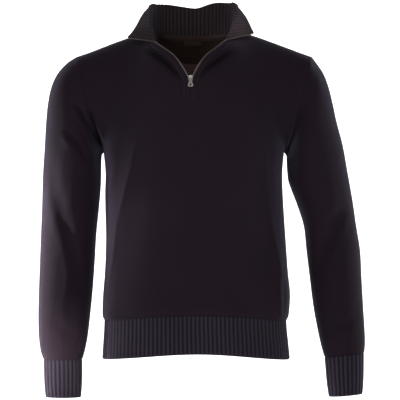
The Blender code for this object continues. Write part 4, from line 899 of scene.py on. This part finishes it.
def fibre_group():
    """Fine loose fibres and slow unevenness of dyed yarn: two noises of unlike scale."""
    outputs = (("Fuzz", "value"), ("Cast", "value"))
    tree, given, put = group("yarn_fibres", (("Place", "vector", None),), outputs)
    m = Maker(tree)
    m.join(m.noise(given.outputs["Place"], FUZZ_SCALE, 3.0, 0.6), put.inputs["Fuzz"])
    m.join(m.noise(given.outputs["Place"], CAST_SCALE, 2.0, 0.5), put.inputs["Cast"])
    return tree


def plain_material(name, colour, roughness, metallic=0.0, sheen=0.0, tint=(1, 1, 1), sheen_rough=0.4):
    """A Principled material with its uniform values on the shader's own sockets."""
    made = bpy.data.materials.new(name)
    made.use_nodes = True
    shader = made.node_tree.nodes["Principled BSDF"]
    for socket, value in (("Base Color", (*colour, 1.0)), ("Roughness", roughness), ("Metallic", metallic),
                          ("Sheen Weight", sheen), ("Sheen Roughness", sheen_rough),
                          ("Sheen Tint", (*tint, 1.0)), ("Specular IOR Level", 0.5 if metallic else GLOSS)):
        shader.inputs[socket].default_value = value
    return made, shader, Maker(made.node_tree)


def knit_material(name, yarn, stitch, sheen, raised):
    """Knitted cloth: yarn colour with stitch shade and uneven dye, nap as sheen, stitches as bump.

    With raised "ribs" the colour follows the ribs' height, painted light on the ridges and painted shade in
    the grooves; with "folds" it goes at their bottoms, painted shade in the creases.
    """
    dark, light = yarn
    made, shader, m = plain_material(name, dark, CLOTH_ROUGH, sheen=sheen, tint=SHEEN_TINT,
                                     sheen_rough=SHEEN_ROUGH)
    tree = made.node_tree
    place = tree.nodes.new("ShaderNodeTexCoord")
    cloth = tree.nodes.new("ShaderNodeUVMap")
    cloth.uv_map = "cloth"
    knit = m.place(GROUPS["knit"], Cloth=cloth.outputs[0], Stitch_Width=stitch[0], Stitch_Height=stitch[1])
    fibres = m.place(GROUPS["fibres"], Place=place.outputs["Object"])
    share = m.math("MULTIPLY", knit.outputs["Shade"], m.line(fibres.outputs["Cast"], *DYE_LINE))
    if raised:
        rise = tree.nodes.new("ShaderNodeAttribute")
        rise.attribute_name = "rise"
    if raised == "ribs":
        # painted light on the ribs' ridges, painted shade in their grooves
        share = m.math("MULTIPLY", share, m.line(rise.outputs["Fac"], *RIB_LINE))
    colour = m.mix(share, (*dark, 1.0), (*light, 1.0))
    if raised == "folds":
        # painted shade: the colour goes towards black at the bottoms of folds
        left = m.line(rise.outputs["Fac"], FOLD_SHADE, 1 - FOLD_SHADE)
        colour = m.mix(left, (0.0, 0.0, 0.0, 1.0), colour)
    m.join(colour, shader.inputs["Base Color"])
    height = m.math("ADD", knit.outputs["Height"], m.math("MULTIPLY", fibres.outputs["Fuzz"], FUZZ))
    m.join(m.bump(height, *STITCH_BUMP), shader.inputs["Normal"])
    return made


GROUPS = {}
M = {}


def make_materials():
    """Every finish of the sweater, by key."""
    GROUPS["knit"], GROUPS["fibres"] = knit_group(), fibre_group()
    for key, *values in KNITS:
        M[key] = knit_material(*values)
    M["thread"], _, _ = plain_material("sewing_thread", THREAD, THREAD_ROUGH, sheen=THREAD_SHEEN)
    for key, colour, rough in METALS:
        made, shader, m = plain_material(f"zip_{key}", colour, rough, metallic=1.0)
        coord = made.node_tree.nodes.new("ShaderNodeTexCoord")
        wear = m.noise(coord.outputs["Object"], WEAR_SCALE, 3.0, 0.6)
        m.join(m.line(wear, WEAR_LINE[0], rough + WEAR_LINE[1]), shader.inputs["Roughness"])
        m.join(m.bump(wear, *WEAR_BUMP), shader.inputs["Normal"])
        M[key] = made


# ---------------------------------------------------------------- cloth pieces
def ride(obj, slot, *nodes, body="sweater"):
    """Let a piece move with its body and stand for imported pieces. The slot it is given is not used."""
    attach(obj, body)
    if nodes:
        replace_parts(obj, *nodes)
    return obj


def body_uv(grid, front):
    """Cloth coordinates of a panel: across it the way round the body, along it the height."""
    across = lengths(grid, 1)
    middle = grid.shape[1] // 2
    around = across - across[:, middle:middle + 1]
    upper = np.clip((grid[..., 2] - UNDERARM) / YOKE_FADE, 0, 1)
    u = around * (1 - upper) + YOKE_SPREAD * grid[..., 0] * upper
    lean = (FRONT_PLANE + grid[..., 1]) if front else (BACK_PLANE - grid[..., 1])
    return np.stack((u, grid[..., 2] + YOKE_LEAN * upper * lean), axis=-1)


def shared_normals(front, back, sleeves):
    """Outward directions of all panels, made equal on both sides of each seam so that the walls meet."""
    front_out, back_out = -grid_normals(front), grid_normals(back)
    for column in (0, -1):
        met = unit(front_out[UNDER_ROW:, column] + back_out[UNDER_ROW:, column])
        front_out[UNDER_ROW:, column] = back_out[UNDER_ROW:, column] = met
    for shoulder in (slice(SHOULDER_COLUMN + 1), slice(-SHOULDER_COLUMN - 1, None)):
        met = unit(front_out[0, shoulder] + back_out[0, shoulder])
        front_out[0, shoulder] = back_out[0, shoulder] = met
    sleeves_out = {}
    for side, column in ((-1, 0), (1, -1)):
        out = outward(sleeves[side], grid_normals(sleeves[side], closed=True))
        out[0] = unit(armhole_of(front_out, back_out, column) + out[0])
        front_out[UNDER_ROW::-1, column] = out[0, :UNDER_ROW + 1]
        back_out[1:UNDER_ROW, column] = out[0, UNDER_ROW + 1:]
        for row in (0, UNDER_ROW):
            back_out[row, column] = front_out[row, column]
        sleeves_out[side] = out
    return front_out, back_out, sleeves_out


def build_body(panels, fold_shades):
    """The front and the back panel."""
    for (grid, normals), name, rise in zip(panels, ("front", "back"), fold_shades):
        outer = seam_roll(grid, normals, ("top", "first", "last"))
        obj = wall(f"{name}_jersey", outer, grid - KNIT * normals, (M["jersey"], M["purl"]),
                   body_uv(grid, name == "front"), rise=rise)
        ride(obj, "navy_knit", f"{name}_panel")


def build_sleeve(word, grid, normals, rise):
    """One sleeve."""
    around = lengths(np.concatenate((grid, grid[:, :1]), axis=1), 1)[:, :-1]
    around -= around[:, grid.shape[1] // 2, None]
    down = np.broadcast_to(lengths(grid, 0).mean(axis=1, keepdims=True), around.shape)
    obj = wall(f"sleeve_{word}_jersey", seam_roll(grid, normals, ("top",)), grid - KNIT * normals,
               (M["jersey"], M["purl"]), np.stack((around, -down), axis=-1), closed=True, rise=rise)
    ride(obj, "navy_knit", f"sleeve_{word}")


def rib_wave(phase):
    """Rise of a rib from 0 to 1 over its pitch: a clipped cosine, so broad ridges with narrower grooves."""
    middle, half, power = RIB_WAVE
    return np.clip(middle + half * np.cos(2 * np.pi * phase), 0.0, 1.0) ** power


def cast_edge(rows):
    """How far a ribbed piece swells at its cast-off edge: a thin double line."""
    before = np.linspace(0, 1, rows) - 1
    return (np.exp(-((before + CAST_EDGE) / (0.35 * CAST_EDGE)) ** 2)
            + 0.8 * np.exp(-(before / (0.4 * CAST_EDGE)) ** 2))


def ribbed_wall(name, base, normals, ribs, finishes, closed=False, both_faces=False, worn=1.0):
    """A ribbed wall over base points: the wave runs across the columns and fades at the two ends.

    Its first row is repeated past the seam and in by half the wall, as the allowance that is sewn in.
    The waves are drawn towards their mean where ribs are worn. The attribute "rise" is their height,
    which paints light on the ridges and shade in the grooves.
    """
    rows, columns = base.shape[:2]
    phase = np.arange(columns) / (columns if closed else columns - 1) * ribs
    share = np.linspace(0, 1, rows)[:, None]
    wave = rib_wave(phase) * np.clip(share / RIB_START, 0, 1) ** 0.5
    stop = np.clip((1 - share) / RIB_STOP, 0, 1)
    wave = wave * (CAST_RISE + (1 - CAST_RISE) * stop) + CAST_RISE * cast_edge(rows)[:, None]
    wave = WORN_LEVEL + worn * (wave - WORN_LEVEL)
    outer = base + RIB_RISE * (wave - 1)[..., None] * normals
    inner = base - (RIB_CLOTH + RIB_BACK * RIB_RISE) * normals
    if both_faces:
        inner -= (RIB_RISE * worn * (rib_wave(phase + 0.5) - 1))[..., None] * normals
    uv = np.stack((lengths(base, 1), -lengths(base, 0)), axis=-1)
    # painted light and shade follow the ribs' height
    shade = np.clip(wave, 0, 1)
    past = TUCK * unit(base[0] - base[1])
    outer = np.concatenate((outer[:1] + past - 0.5 * RIB_CLOTH * normals[:1], outer))
    inner = np.concatenate((inner[:1] + past + 0.25 * RIB_CLOTH * normals[:1], inner))
    uv = np.concatenate((uv[:1] + np.array((0.0, TUCK)), uv))
    return wall(name, outer, inner, finishes, uv, closed=closed, rise=np.concatenate((shade[:1], shade)))


def build_cuff(side, word):
    """A ribbed cuff tube below its sleeve."""
    up, inwards = CUFF_RAISE - SEAM_GAP, -side * CUFF_STEP
    start = np.array(SLEEVE[side][-1]) + np.array((inwards, up, -inwards, up, 0, -CUFF_STEP))
    end = np.array(CUFF_END[side])
    around = np.linspace(0, 2 * np.pi, TURN_POINTS)
    run = run_of(sleeve_ring((start + end) / 2, around))
    ribs = round(run[-1] / RIB_PITCH)
    turn = np.interp(np.linspace(0, run[-1], RIB_POINTS * ribs + 1)[:-1], run, around)
    down = np.linspace(0, 1, RIB_ROWS)
    rows = np.array([sleeve_ring(start + (end - start) * share, turn) for share in down])
    normals = outward(rows, grid_normals(rows, closed=True))
    rows = rows + CUFF_SWELL * np.sin(np.pi * down ** 1.4)[:, None, None] * normals
    obj = ribbed_wall(f"cuff_{word}_rib", rows, normals, ribs, (M["rib"],), closed=True)
    ride(obj, "navy_rib", f"cuff_{word}")


def build_hem():
    """The hem rib: a half in front and a half behind."""
    wander, turns, begin = HEM_WANDER
    for face, word in ((-1, "front"), (1, "back")):
        middle = half_ring((BODY_END + HEM_END) / 2, face, np.linspace(-1, 1, LINE_POINTS))
        ribs = round(run_of(middle)[-1] / RIB_PITCH)
        share = np.linspace(-1, 1, RIB_POINTS * ribs + 1)
        rows = []
        for step in np.linspace(0, 1, RIB_ROWS):
            row = half_ring(BODY_END + (HEM_END - BODY_END) * step, face, share)
            top = ring_end(row[:, 0], face, BODY_END, BODY_END_RISE) - SEAM_GAP
            low = ring_end(row[:, 0], face, HEM_END, HEM_END_RISE)
            low += wander * np.sin(turns * row[:, 0] + begin) * step
            row[:, 2] = top + (low - top) * step
            rows.append(row)
        rows = np.array(rows)
        normals = grid_normals(rows) * face
        normals[:, 0], normals[:, -1] = (-1.0, 0.0, 0.0), (1.0, 0.0, 0.0)
        obj = ribbed_wall(f"hem_{word}_rib", rows, normals, ribs, (M["rib"],))
        ride(obj, "navy_rib", f"hem_rib_{word}")


def fine_neck(front, back):
    """The neck seam on the fine grids: right zip edge, round the back, left zip edge, with places."""
    neck = NECK_COLUMN - SHOULDER_COLUMN
    last = front.shape[1] - 1
    points = np.concatenate((front[0, NECK_COLUMN:SHOULDER_COLUMN - 1:-1],
                             back[0, SHOULDER_COLUMN + 1:NECK_COLUMN + neck + 1],
                             front[0, last - SHOULDER_COLUMN - 1:last - NECK_COLUMN - 1:-1]))
    return points, np.arange(len(points)) / neck


def collar_surface(front, back):
    """The collar's middle surface: stands on the neck seam, then turns out over the roll."""
    points, place = fine_neck(front, back)
    run = run_of(points)
    ribs = round(run[-1] / RIB_PITCH)
    at = np.linspace(COLLAR_INSET, run[-1] - COLLAR_INSET, RIB_POINTS * ribs + 1)
    seam, away = read(at, run, points, away_from_neck(points))
    away = unit(away)
    place = np.interp(at, run, place)
    side = np.where(place < 2, -1.0, 1.0)
    mirrored = 2 - np.abs(place - 2)
    table = np.where(side[:, None] < 0, smooth(COLLAR[-1], mirrored), smooth(COLLAR[1], mirrored))
    height, below, lean, turned = table[:, 0], table[:, 1], table[:, 2], table[:, 3:6].copy()
    turned[:, 0] *= side
    turned = unit(turned)
    up = unit(np.array((0.0, 0.0, 1.0)) + lean[:, None] * away)
    start, end = np.clip(below - ROLL, *ROLL_LOW), np.clip(below + ROLL, *ROLL_HIGH)
    first, second, third = (np.linspace(0, 1, steps + 1)[:, None] for steps in COLLAR_ROWS)
    v = np.concatenate((start * first, start + (end - start) * second[1:], end + (1 - end) * third[1:]))
    over = turned_length(v - below) - turned_length(-below) * (1 - v)
    grid = seam + (height * (v - over))[..., None] * up + (height * over)[..., None] * turned
    return grid, away, ribs, np.clip(over / WORN_FROM, 0, 1)


def build_collar(front, back):
    """The collar: one layer of rib, raised on both faces."""
    grid, away, ribs, past_roll = collar_surface(front, back)
    normals = grid_normals(grid)
    normals *= np.sign(np.sum(normals[1] * away))
    normals[0] = unit(away + np.array((0.0, 0.0, 1.0)))
    obj = ribbed_wall("collar_rib", grid + 0.5 * RIB_RISE * normals, normals, ribs,
                      (M["rib"], M["collar_rib"]), both_faces=True, worn=1 - LAPEL_WORN * past_roll)
    ride(obj, "navy_rib", "collar")
    return grid, normals


# ---------------------------------------------------------------- zip
def on_surface(grid, normals, points, blend=4):
    """Points moved along a surface's normals on to it: its nearest few points give the tangent plane."""
    flat, normal = grid.reshape(-1, 3), normals.reshape(-1, 3)
    asked = points.reshape(-1, 3)
    away = np.linalg.norm(asked[:, None] - flat[None], axis=-1)
    near = np.argpartition(away, blend, axis=1)[:, :blend]
    weight = 1 / (np.take_along_axis(away, near, 1) + 1e-4) ** 2
    weight /= weight.sum(axis=1, keepdims=True)
    turned = unit(np.sum(weight[..., None] * normal[near], axis=1))
    lift = np.sum(weight * np.sum((flat[near] - asked[:, None]) * normal[near], axis=-1), axis=1)
    return (asked + lift[:, None] * turned).reshape(points.shape), turned.reshape(points.shape)


def even(line, step, *others):
    """A line and the directions that go with it, at equal steps along its length."""
    run = run_of(line)
    at = np.linspace(0.0, run[-1], max(2, round(run[-1] / step) + 1))
    return read(at, run, line, *others)


def beside(line, into, widths, surface, normals):
    """Rows of points beside a line at the given widths, measured along a surface.

    Each next row is one step further the same way, set on the surface, and the way on is then turned into
    the surface's own slope. Widths below nothing reach straight out beyond the line.
    """
    count = int(np.ceil(widths.max() / BESIDE_STEP)) + 1
    places, ways, outs = [line], [], []
    way = into
    for _ in range(count):
        place, out = on_surface(surface, normals, places[-1] + BESIDE_STEP * way)
        way = unit(way - np.sum(way * out, axis=-1, keepdims=True) * out)
        places.append(place)
        ways.append(way)
        outs.append(out)
    places, outs = np.array(places), np.array([outs[0], *outs])
    at = np.clip(widths / BESIDE_STEP, 0, count - 1e-6)
    low = at.astype(int)
    share = (at - low)[..., None]
    station = np.broadcast_to(np.arange(len(line)), widths.shape)
    rows = places[low, station] * (1 - share) + places[low + 1, station] * share
    rows += np.minimum(widths, 0)[..., None] * into
    return rows, unit(outs[low, station] * (1 - share) + outs[low + 1, station] * share)


def softened(line, rounds):
    """A line with its corners eased, its ends kept."""
    line = line.copy()
    for _ in range(rounds):
        line[1:-1] += EASE * (line[:-2] - 2 * line[1:-1] + line[2:])
    return line


def slit_columns(front, word, beyond=0):
    """Columns of the front along one edge of the slit, from its foot up and on past the neck seam."""
    columns = np.arange(SLIT_COLUMN, NECK_COLUMN - 1 - beyond, -1)
    return columns if word == "right" else front.shape[1] - 1 - columns


def zip_lines(front, normals, collar, collar_normals, word):
    """The line of one side's teeth from its lower end up: points, run, way off the cloth, way out of it."""
    columns = slit_columns(front, word)
    edge, inside, out = front[0, columns], front[2, columns], unit(normals[1, columns])
    first, second = (0, 3) if word == "right" else (-1, -4)
    side, side_in, side_out = collar[:, first], collar[:, second], collar_normals[:, first]
    side_out = side_out * np.sign(np.sum(side_out[0] * out[-1]))
    lines = []
    for line, inner, face, sink in ((edge, inside, out, CHAIN_SINK), (side, side_in, side_out, 0.0)):
        off = unit(np.cross(unit(np.gradient(line, axis=0)), face))
        off *= np.sign(np.sum(off * (line - inner)))
        lines.append((line + TEETH_OFF * off - sink * face, off, face))
    points, off, face = (softened(np.concatenate((a[:-2], b[3:])), CORNER_ROUNDS) for a, b in zip(*lines))
    points, off, face = even(points, CHAIN_STEP, off, face)
    return points, unit(np.gradient(points, axis=0)), unit(off), unit(face)


def outward_faces(points, faces, block):
    """Faces of repeated blocks of points, turned so that the first block's point away from its middle."""
    middle = points[:block].mean(axis=0)
    corner = points[faces[:block - 2]]
    normal = np.cross(corner[:, 1] - corner[:, 0], corner[:, 2] - corner[:, 0])
    inwards = np.sum(normal * (corner.mean(axis=1) - middle)) < 0
    return faces[:, ::-1] if inwards else faces


def repeated(name, blocks, side_faces, caps, outer, finish, sharp):
    """One mesh of many blocks of points, each with the same faces."""
    faces = np.concatenate((side_faces, caps))
    size = blocks.shape[1]
    faces = (faces[None] + size * np.arange(len(blocks))[:, None, None]).reshape(-1, 4)
    points = blocks.reshape(-1, 3)
    return put_mesh(name, points, outward_faces(points, faces, outer), (M[finish],), sharp=sharp)


def tube_faces(rings, corners):
    """Four-sided faces between rings of corners."""
    number = np.arange(rings * corners).reshape(rings, corners)
    return grid_faces(np.column_stack((number, number[:, :1])))


def teeth(name, points, run, off, out, phase, shut):
    """Metal teeth at an even pitch: a block with cut-back faces for each, placed on its own frame."""
    length = run_of(points)
    at = np.arange(TEETH_PITCH * phase, length[-1] - TEETH_END, TEETH_PITCH)
    place, along, side, up = read(at, length, points, run, off, out)
    corners = np.array(((-1, -1, 1), (1, -1, 1), (1, 1, 1), (-1, 1, 1))) * np.array(TOOTH) / 2
    shape = np.concatenate([corners * (width, 0.4 + 0.6 * width, height) for height, width in TOOTH_CUTS])
    frames = np.stack((unit(along), unit(side), unit(up)), axis=1)
    blocks = place[:, None] + shape @ frames
    blocks += np.where(at < shut, -TEETH_DROP, 0.0)[:, None, None] * frames[:, 2][:, None]
    caps = np.array([[3, 2, 1, 0], [12, 13, 14, 15]])
    return ride(repeated(name, blocks, tube_faces(4, 4), caps, 16, "teeth", 30), "zip_teeth")


def stitches(name, line, out):
    """A row of short stitches: each is a low round bead of thread, half sunk, with a gap to the next."""
    length, gap, radius = STITCH
    place, bulge = np.array(STITCH_FORM).T
    run = run_of(line)
    at = np.arange(0.001, run[-1] - length, length + gap)[:, None] + place * length
    centre, up = read(at, run, line, out)
    up = unit(up)
    side = unit(np.cross(unit(np.gradient(centre, axis=1)), up))
    turn = np.linspace(0, 2 * np.pi, STITCH_SIDES + 1)[:-1, None]
    around = np.cos(turn) * side[:, :, None] + np.sin(turn) * up[:, :, None]
    beads = centre[:, :, None] + bulge[:, None, None] * radius * around
    caps = np.array([[0, 1, 2, 3], [0, 3, 4, 5], [27, 26, 25, 24], [29, 28, 27, 24]])
    beads = beads.reshape(len(at), -1, 3)
    return ride(repeated(name, beads, tube_faces(len(place), STITCH_SIDES), caps, 26, "thread", 180),
                "navy_facing")


def rounded_strip(name, rows, normals, thickness, finish, lift):
    """A strip of cloth over a grid of points: its outer face is rounded down at its long edges."""
    across = np.linspace(-1, 1, rows.shape[0])
    bulge = np.sqrt(np.clip(1 - np.abs(across) ** 5, 0, 1))[:, None, None]
    outer = rows + (lift + thickness * (0.25 + 0.75 * bulge)) * normals
    uv = np.stack((lengths(rows, 0), lengths(rows, 1)), axis=-1)
    return wall(name, outer, rows + lift * normals, (M[finish], M[finish]), uv)


def strip_line(front, normals, word, beyond):
    """The edge a strip beside the zip follows: from below the slit, up it and on along the neck seam."""
    columns = slit_columns(front, word, beyond)
    edge, inside, out = front[0, columns], front[2, columns], normals[1, columns]
    edge, inside, out = (np.concatenate((v[:1] - np.array((0, 0, drop)), v))
                         for v, drop in ((edge, BAND_BELOW), (inside, BAND_BELOW), (out, 0.0)))
    line, inwards, out = even(edge, STRIP_STEP, inside - edge, out)
    out = unit(softened(out, 6))
    into = unit(softened(np.cross(np.gradient(line, axis=0), out), 6))
    return line, into * np.sign(np.sum(into * inwards)), out


def build_zip(front, normals, collar, collar_normals):
    """Both sides of the zip: teeth, tape inside, raised facing band outside with two rows of stitches."""
    near = (slice(0, NEAR_ZIP), slice(NEAR_ZIP, front.shape[1] - NEAR_ZIP))
    outer, outer_normals = front[near], normals[near]
    inner = outer - KNIT * outer_normals
    for word, phase in (("right", 0.25), ("left", 0.75)):
        points, run, off, out = zip_lines(front, normals, collar, collar_normals, word)
        shut = float(np.sum(points[:, 2] < SLIDER_FOOT)) * CHAIN_STEP
        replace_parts(teeth(f"zip_teeth_{word}_row", points, run, off, out, phase, shut), f"zip_teeth_{word}")

        line, into, face = strip_line(front, normals, word, BAND_BEYOND)
        closed = level(np.clip((SLIDER_FOOT - line[:, 2]) / CLOSE_FADE, 0, 1))
        met = np.clip((SLOT_FOOT - line[:, 2]) / SLOT_FADE, 0, 1)
        start = BAND_INSET * (1 - closed) - (BAND_OVER + BAND_MEET * met) * closed
        tucked = np.clip(np.arange(len(line))[::-1] * STRIP_STEP / BAND_TAPER, 0, 1)
        wide = BAND_WIDTH * (BAND_NARROW + (1 - BAND_NARROW) * level(tucked))
        widths = start + (wide - start) * np.linspace(0, 1, BAND_STEPS + 1)[:, None]
        held, held_normals = beside(line, into, widths, outer, outer_normals)
        lift = (BAND_GAP + BAND_LIFT * closed)[None, :, None]
        strip = rounded_strip(f"facing_{word}_strip", held, held_normals, BAND, "facing", lift)
        ride(strip, "navy_knit", f"facing_band_{word}")
        for row, share in enumerate(STITCH_ROWS):
            k = int(share * BAND_STEPS)
            seam = held[k] + (held[min(k + 1, BAND_STEPS)] - held[k]) * (share * BAND_STEPS - k)
            seam += (lift[0] + BAND * STITCH_SINK) * held_normals[k]
            stitches(f"facing_{word}_stitch_{row}", seam, held_normals[k])

        line, into, face = strip_line(front, normals, word, 0)
        widths = np.linspace(-TAPE_OVER, TAPE_WIDTH, 7)[:, None] + 0 * line[None, :, 0]
        laid, laid_normals = beside(line - KNIT * face, into, widths, inner, -outer_normals)
        piece = rounded_strip(f"zip_tape_{word}_weave", laid, laid_normals, TAPE, "woven", TAPE_GAP)
        ride(piece, "navy_facing", f"zip_tape_{word}")


def soft_metal(node, name, edge):
    """A copy of a packed metal piece with its points joined and its edges rounded."""
    mesh = node.data.copy()
    mesh.name = name
    work = bmesh.new()
    work.from_mesh(mesh)
    bmesh.ops.remove_doubles(work, verts=work.verts, dist=METAL_JOIN)
    bmesh.ops.dissolve_limit(work, angle_limit=math.radians(METAL_FLAT), verts=work.verts,
                             edges=work.edges)
    work.to_mesh(mesh)
    work.free()
    mesh.materials.clear()
    mesh.materials.append(M["steel"])
    mesh.shade_smooth()
    obj = link(name, mesh)
    round_off = obj.modifiers.new("edges", "BEVEL")
    round_off.width, round_off.segments, round_off.limit_method = edge, 2, "ANGLE"
    round_off.angle_limit = math.radians(METAL_EDGE)
    round_off.harden_normals = True
    return obj


def build_back_neck(back, normals, collar, collar_normals):
    """Tape over the back neck seam, half moon below it and the blank label, laid inside the back."""
    near = (slice(0, 5 * FINE), slice(SHOULDER_COLUMN - 6, 2 * NECK_COLUMN - SHOULDER_COLUMN + 7))
    seam = (back - KNIT * normals)[near][0]
    third = collar.shape[1] // 3
    parts = ((back, normals, near), (collar, collar_normals, (slice(0, 10), slice(third, -third))))
    inside = np.concatenate([(grid - KNIT * out)[part].reshape(-1, 3) for grid, out, part in parts])
    inward = -np.concatenate([out[part].reshape(-1, 3) for _, out, part in parts])

    def hung(middle, half_width, top, drop, columns, rows):
        """Grid on the inside of the back from below the neck seam down by the drop of each column."""
        x = np.linspace(middle - half_width, middle + half_width, columns)
        upper = np.interp(x, seam[:, 0], seam[:, 2]) - top
        height = upper - np.linspace(0, 1, rows)[:, None] * drop
        start = np.stack((x + 0 * height, 0 * height, height), -1)
        flat = np.linalg.norm(start[..., None, (0, 2)] - inside[:, (0, 2)], axis=-1)
        start[..., 1] = inside[flat.argmin(-1), 1]
        return on_surface(inside, inward, start, blend=8)

    x = np.linspace(-1, 1, 61)
    moon = MOON_DROP * np.sqrt(np.clip(1 - (0.985 * x) ** 2, 0, 1)) + END_DROP[0]
    full = 1 - x ** 16
    tape = NECK_TAPE * full + END_DROP[1]
    for name, node, slot, finish, place, thickness, lift, flat, area in (
            ("neck_tape_weave", "neck_tape", "navy_facing", "neck_tape",
             (0.0, TAPE_HALF, TAPE_TOP * full, tape, 61, 9), TAPE, 0.0008, (0.155, 0.0120), None),
            ("half_moon_jersey", "half_moon", "navy_facing", "moon",
             (0.0, MOON_HALF, MOON_TOP, moon, 61, 15), MOON, 0.0003, (0.170, 0.054), 0.8 * 0.170 * 0.054),
            ("neck_label_weave", "neck_label", "label_cloth", "label",
             (LABEL_MIDDLE, LABEL[0] / 2, LABEL_TOP, LABEL[1], 13, 5), LABEL[2], 0.0016, (LABEL[0], 0.0100),
             None)):
        points, out = hung(*place)
        piece = rounded_strip(name, points, out, thickness, finish, lift)
        ride(piece, slot, node)


# ---------------------------------------------------------------- stage
def build_stage():
    """A pale floor that curves up into a pale wall, soft studio lights and the camera."""
    turn = np.linspace(0.1, math.pi / 2, 12)
    depth = np.concatenate((
        np.column_stack((np.linspace(FLOOR_FRONT, FLOOR_BEND, 12), np.full(12, FLOOR))),
        np.column_stack((FLOOR_BEND + FLOOR_CURVE * np.sin(turn),
                         FLOOR + FLOOR_CURVE * (1 - np.cos(turn)))),
        np.column_stack((np.full(5, FLOOR_BEND + FLOOR_CURVE), np.linspace(FLOOR + 1.6, WALL_TOP, 5)))))
    across = np.linspace(-FLOOR_HALF, FLOOR_HALF, 9)
    points = np.stack([np.column_stack((np.full(len(depth), x), depth)) for x in across], axis=1)
    number = np.arange(points.shape[0] * points.shape[1]).reshape(points.shape[:2])
    faces = grid_faces(number)
    pale, shader, _ = plain_material("pale_floor", (FLOOR_GREY,) * 3, 0.9)
    shader.inputs["Emission Color"].default_value = (1.0, 1.0, 1.0, 1.0)
    shader.inputs["Emission Strength"].default_value = FLOOR_GLOW
    put_mesh("floor", points, faces, (pale,))
    for name, place, aim, size, power, colour, spread in LIGHTS:
        lamp = bpy.data.lights.new(name, "AREA")
        lamp.shape, lamp.size, lamp.size_y = "RECTANGLE", size[0], size[1]
        lamp.energy, lamp.color, lamp.spread = power, colour, math.radians(spread)
        holder = link(name, lamp)
        holder.location = place
        holder.rotation_euler = (Vector(aim) - Vector(place)).to_track_quat("-Z", "Y").to_euler()
    world = bpy.data.worlds.new("studio")
    world.use_nodes = True
    world.node_tree.nodes["Background"].inputs["Color"].default_value = (1.0, 1.0, 1.0, 1.0)
    world.node_tree.nodes["Background"].inputs["Strength"].default_value = WORLD
    scene = bpy.context.scene
    scene.world = world
    scene.view_settings.view_transform = "Standard"
    lens = bpy.data.cameras.new("camera")
    lens.sensor_width = 36.0
    lens.lens = 36.0 * CAMERA_AWAY / FRAME_WIDTH
    camera = link("camera", lens)
    camera.location = (CAMERA_X, -CAMERA_AWAY, CAMERA_Z)
    camera.rotation_euler = (math.pi / 2, 0.0, 0.0)
    scene.camera = camera


def main():
    """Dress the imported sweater."""
    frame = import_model()
    make_materials()
    front, back = body_grids()
    sleeves = {side: fine_sleeve(side, front, back, column) for side, column in ((-1, 0), (1, -1))}
    fold_shades = []
    for grid in (front, back, *sleeves.values()):
        # rise here is the share of colour that painted fold shade leaves at each point
        moved, rise = crease_offsets(grid)
        grid += moved
        fold_shades.append(rise)
    front_out, back_out, sleeves_out = shared_normals(front, back, sleeves)
    build_body(((front, front_out), (back, back_out)), fold_shades)
    for side, word, rise in ((-1, "right", fold_shades[2]), (1, "left", fold_shades[3])):
        build_sleeve(word, sleeves[side], sleeves_out[side], rise)
        build_cuff(side, word)
    build_hem()
    collar, collar_normals = build_collar(front, back)
    build_zip(front, front_out, collar, collar_normals)
    build_back_neck(back, back_out, collar, collar_normals)
    nodes = frame["nodes"]
    ride(soft_metal(nodes["zip_slider"], "zip_slider_metal", SLIDER_EDGE), "zip_metal", "zip_slider")
    ride(soft_metal(nodes["pull_tab"], "pull_tab_metal", TAB_EDGE), "zip_metal", "pull_tab", body="pull")
    build_stage()


main()
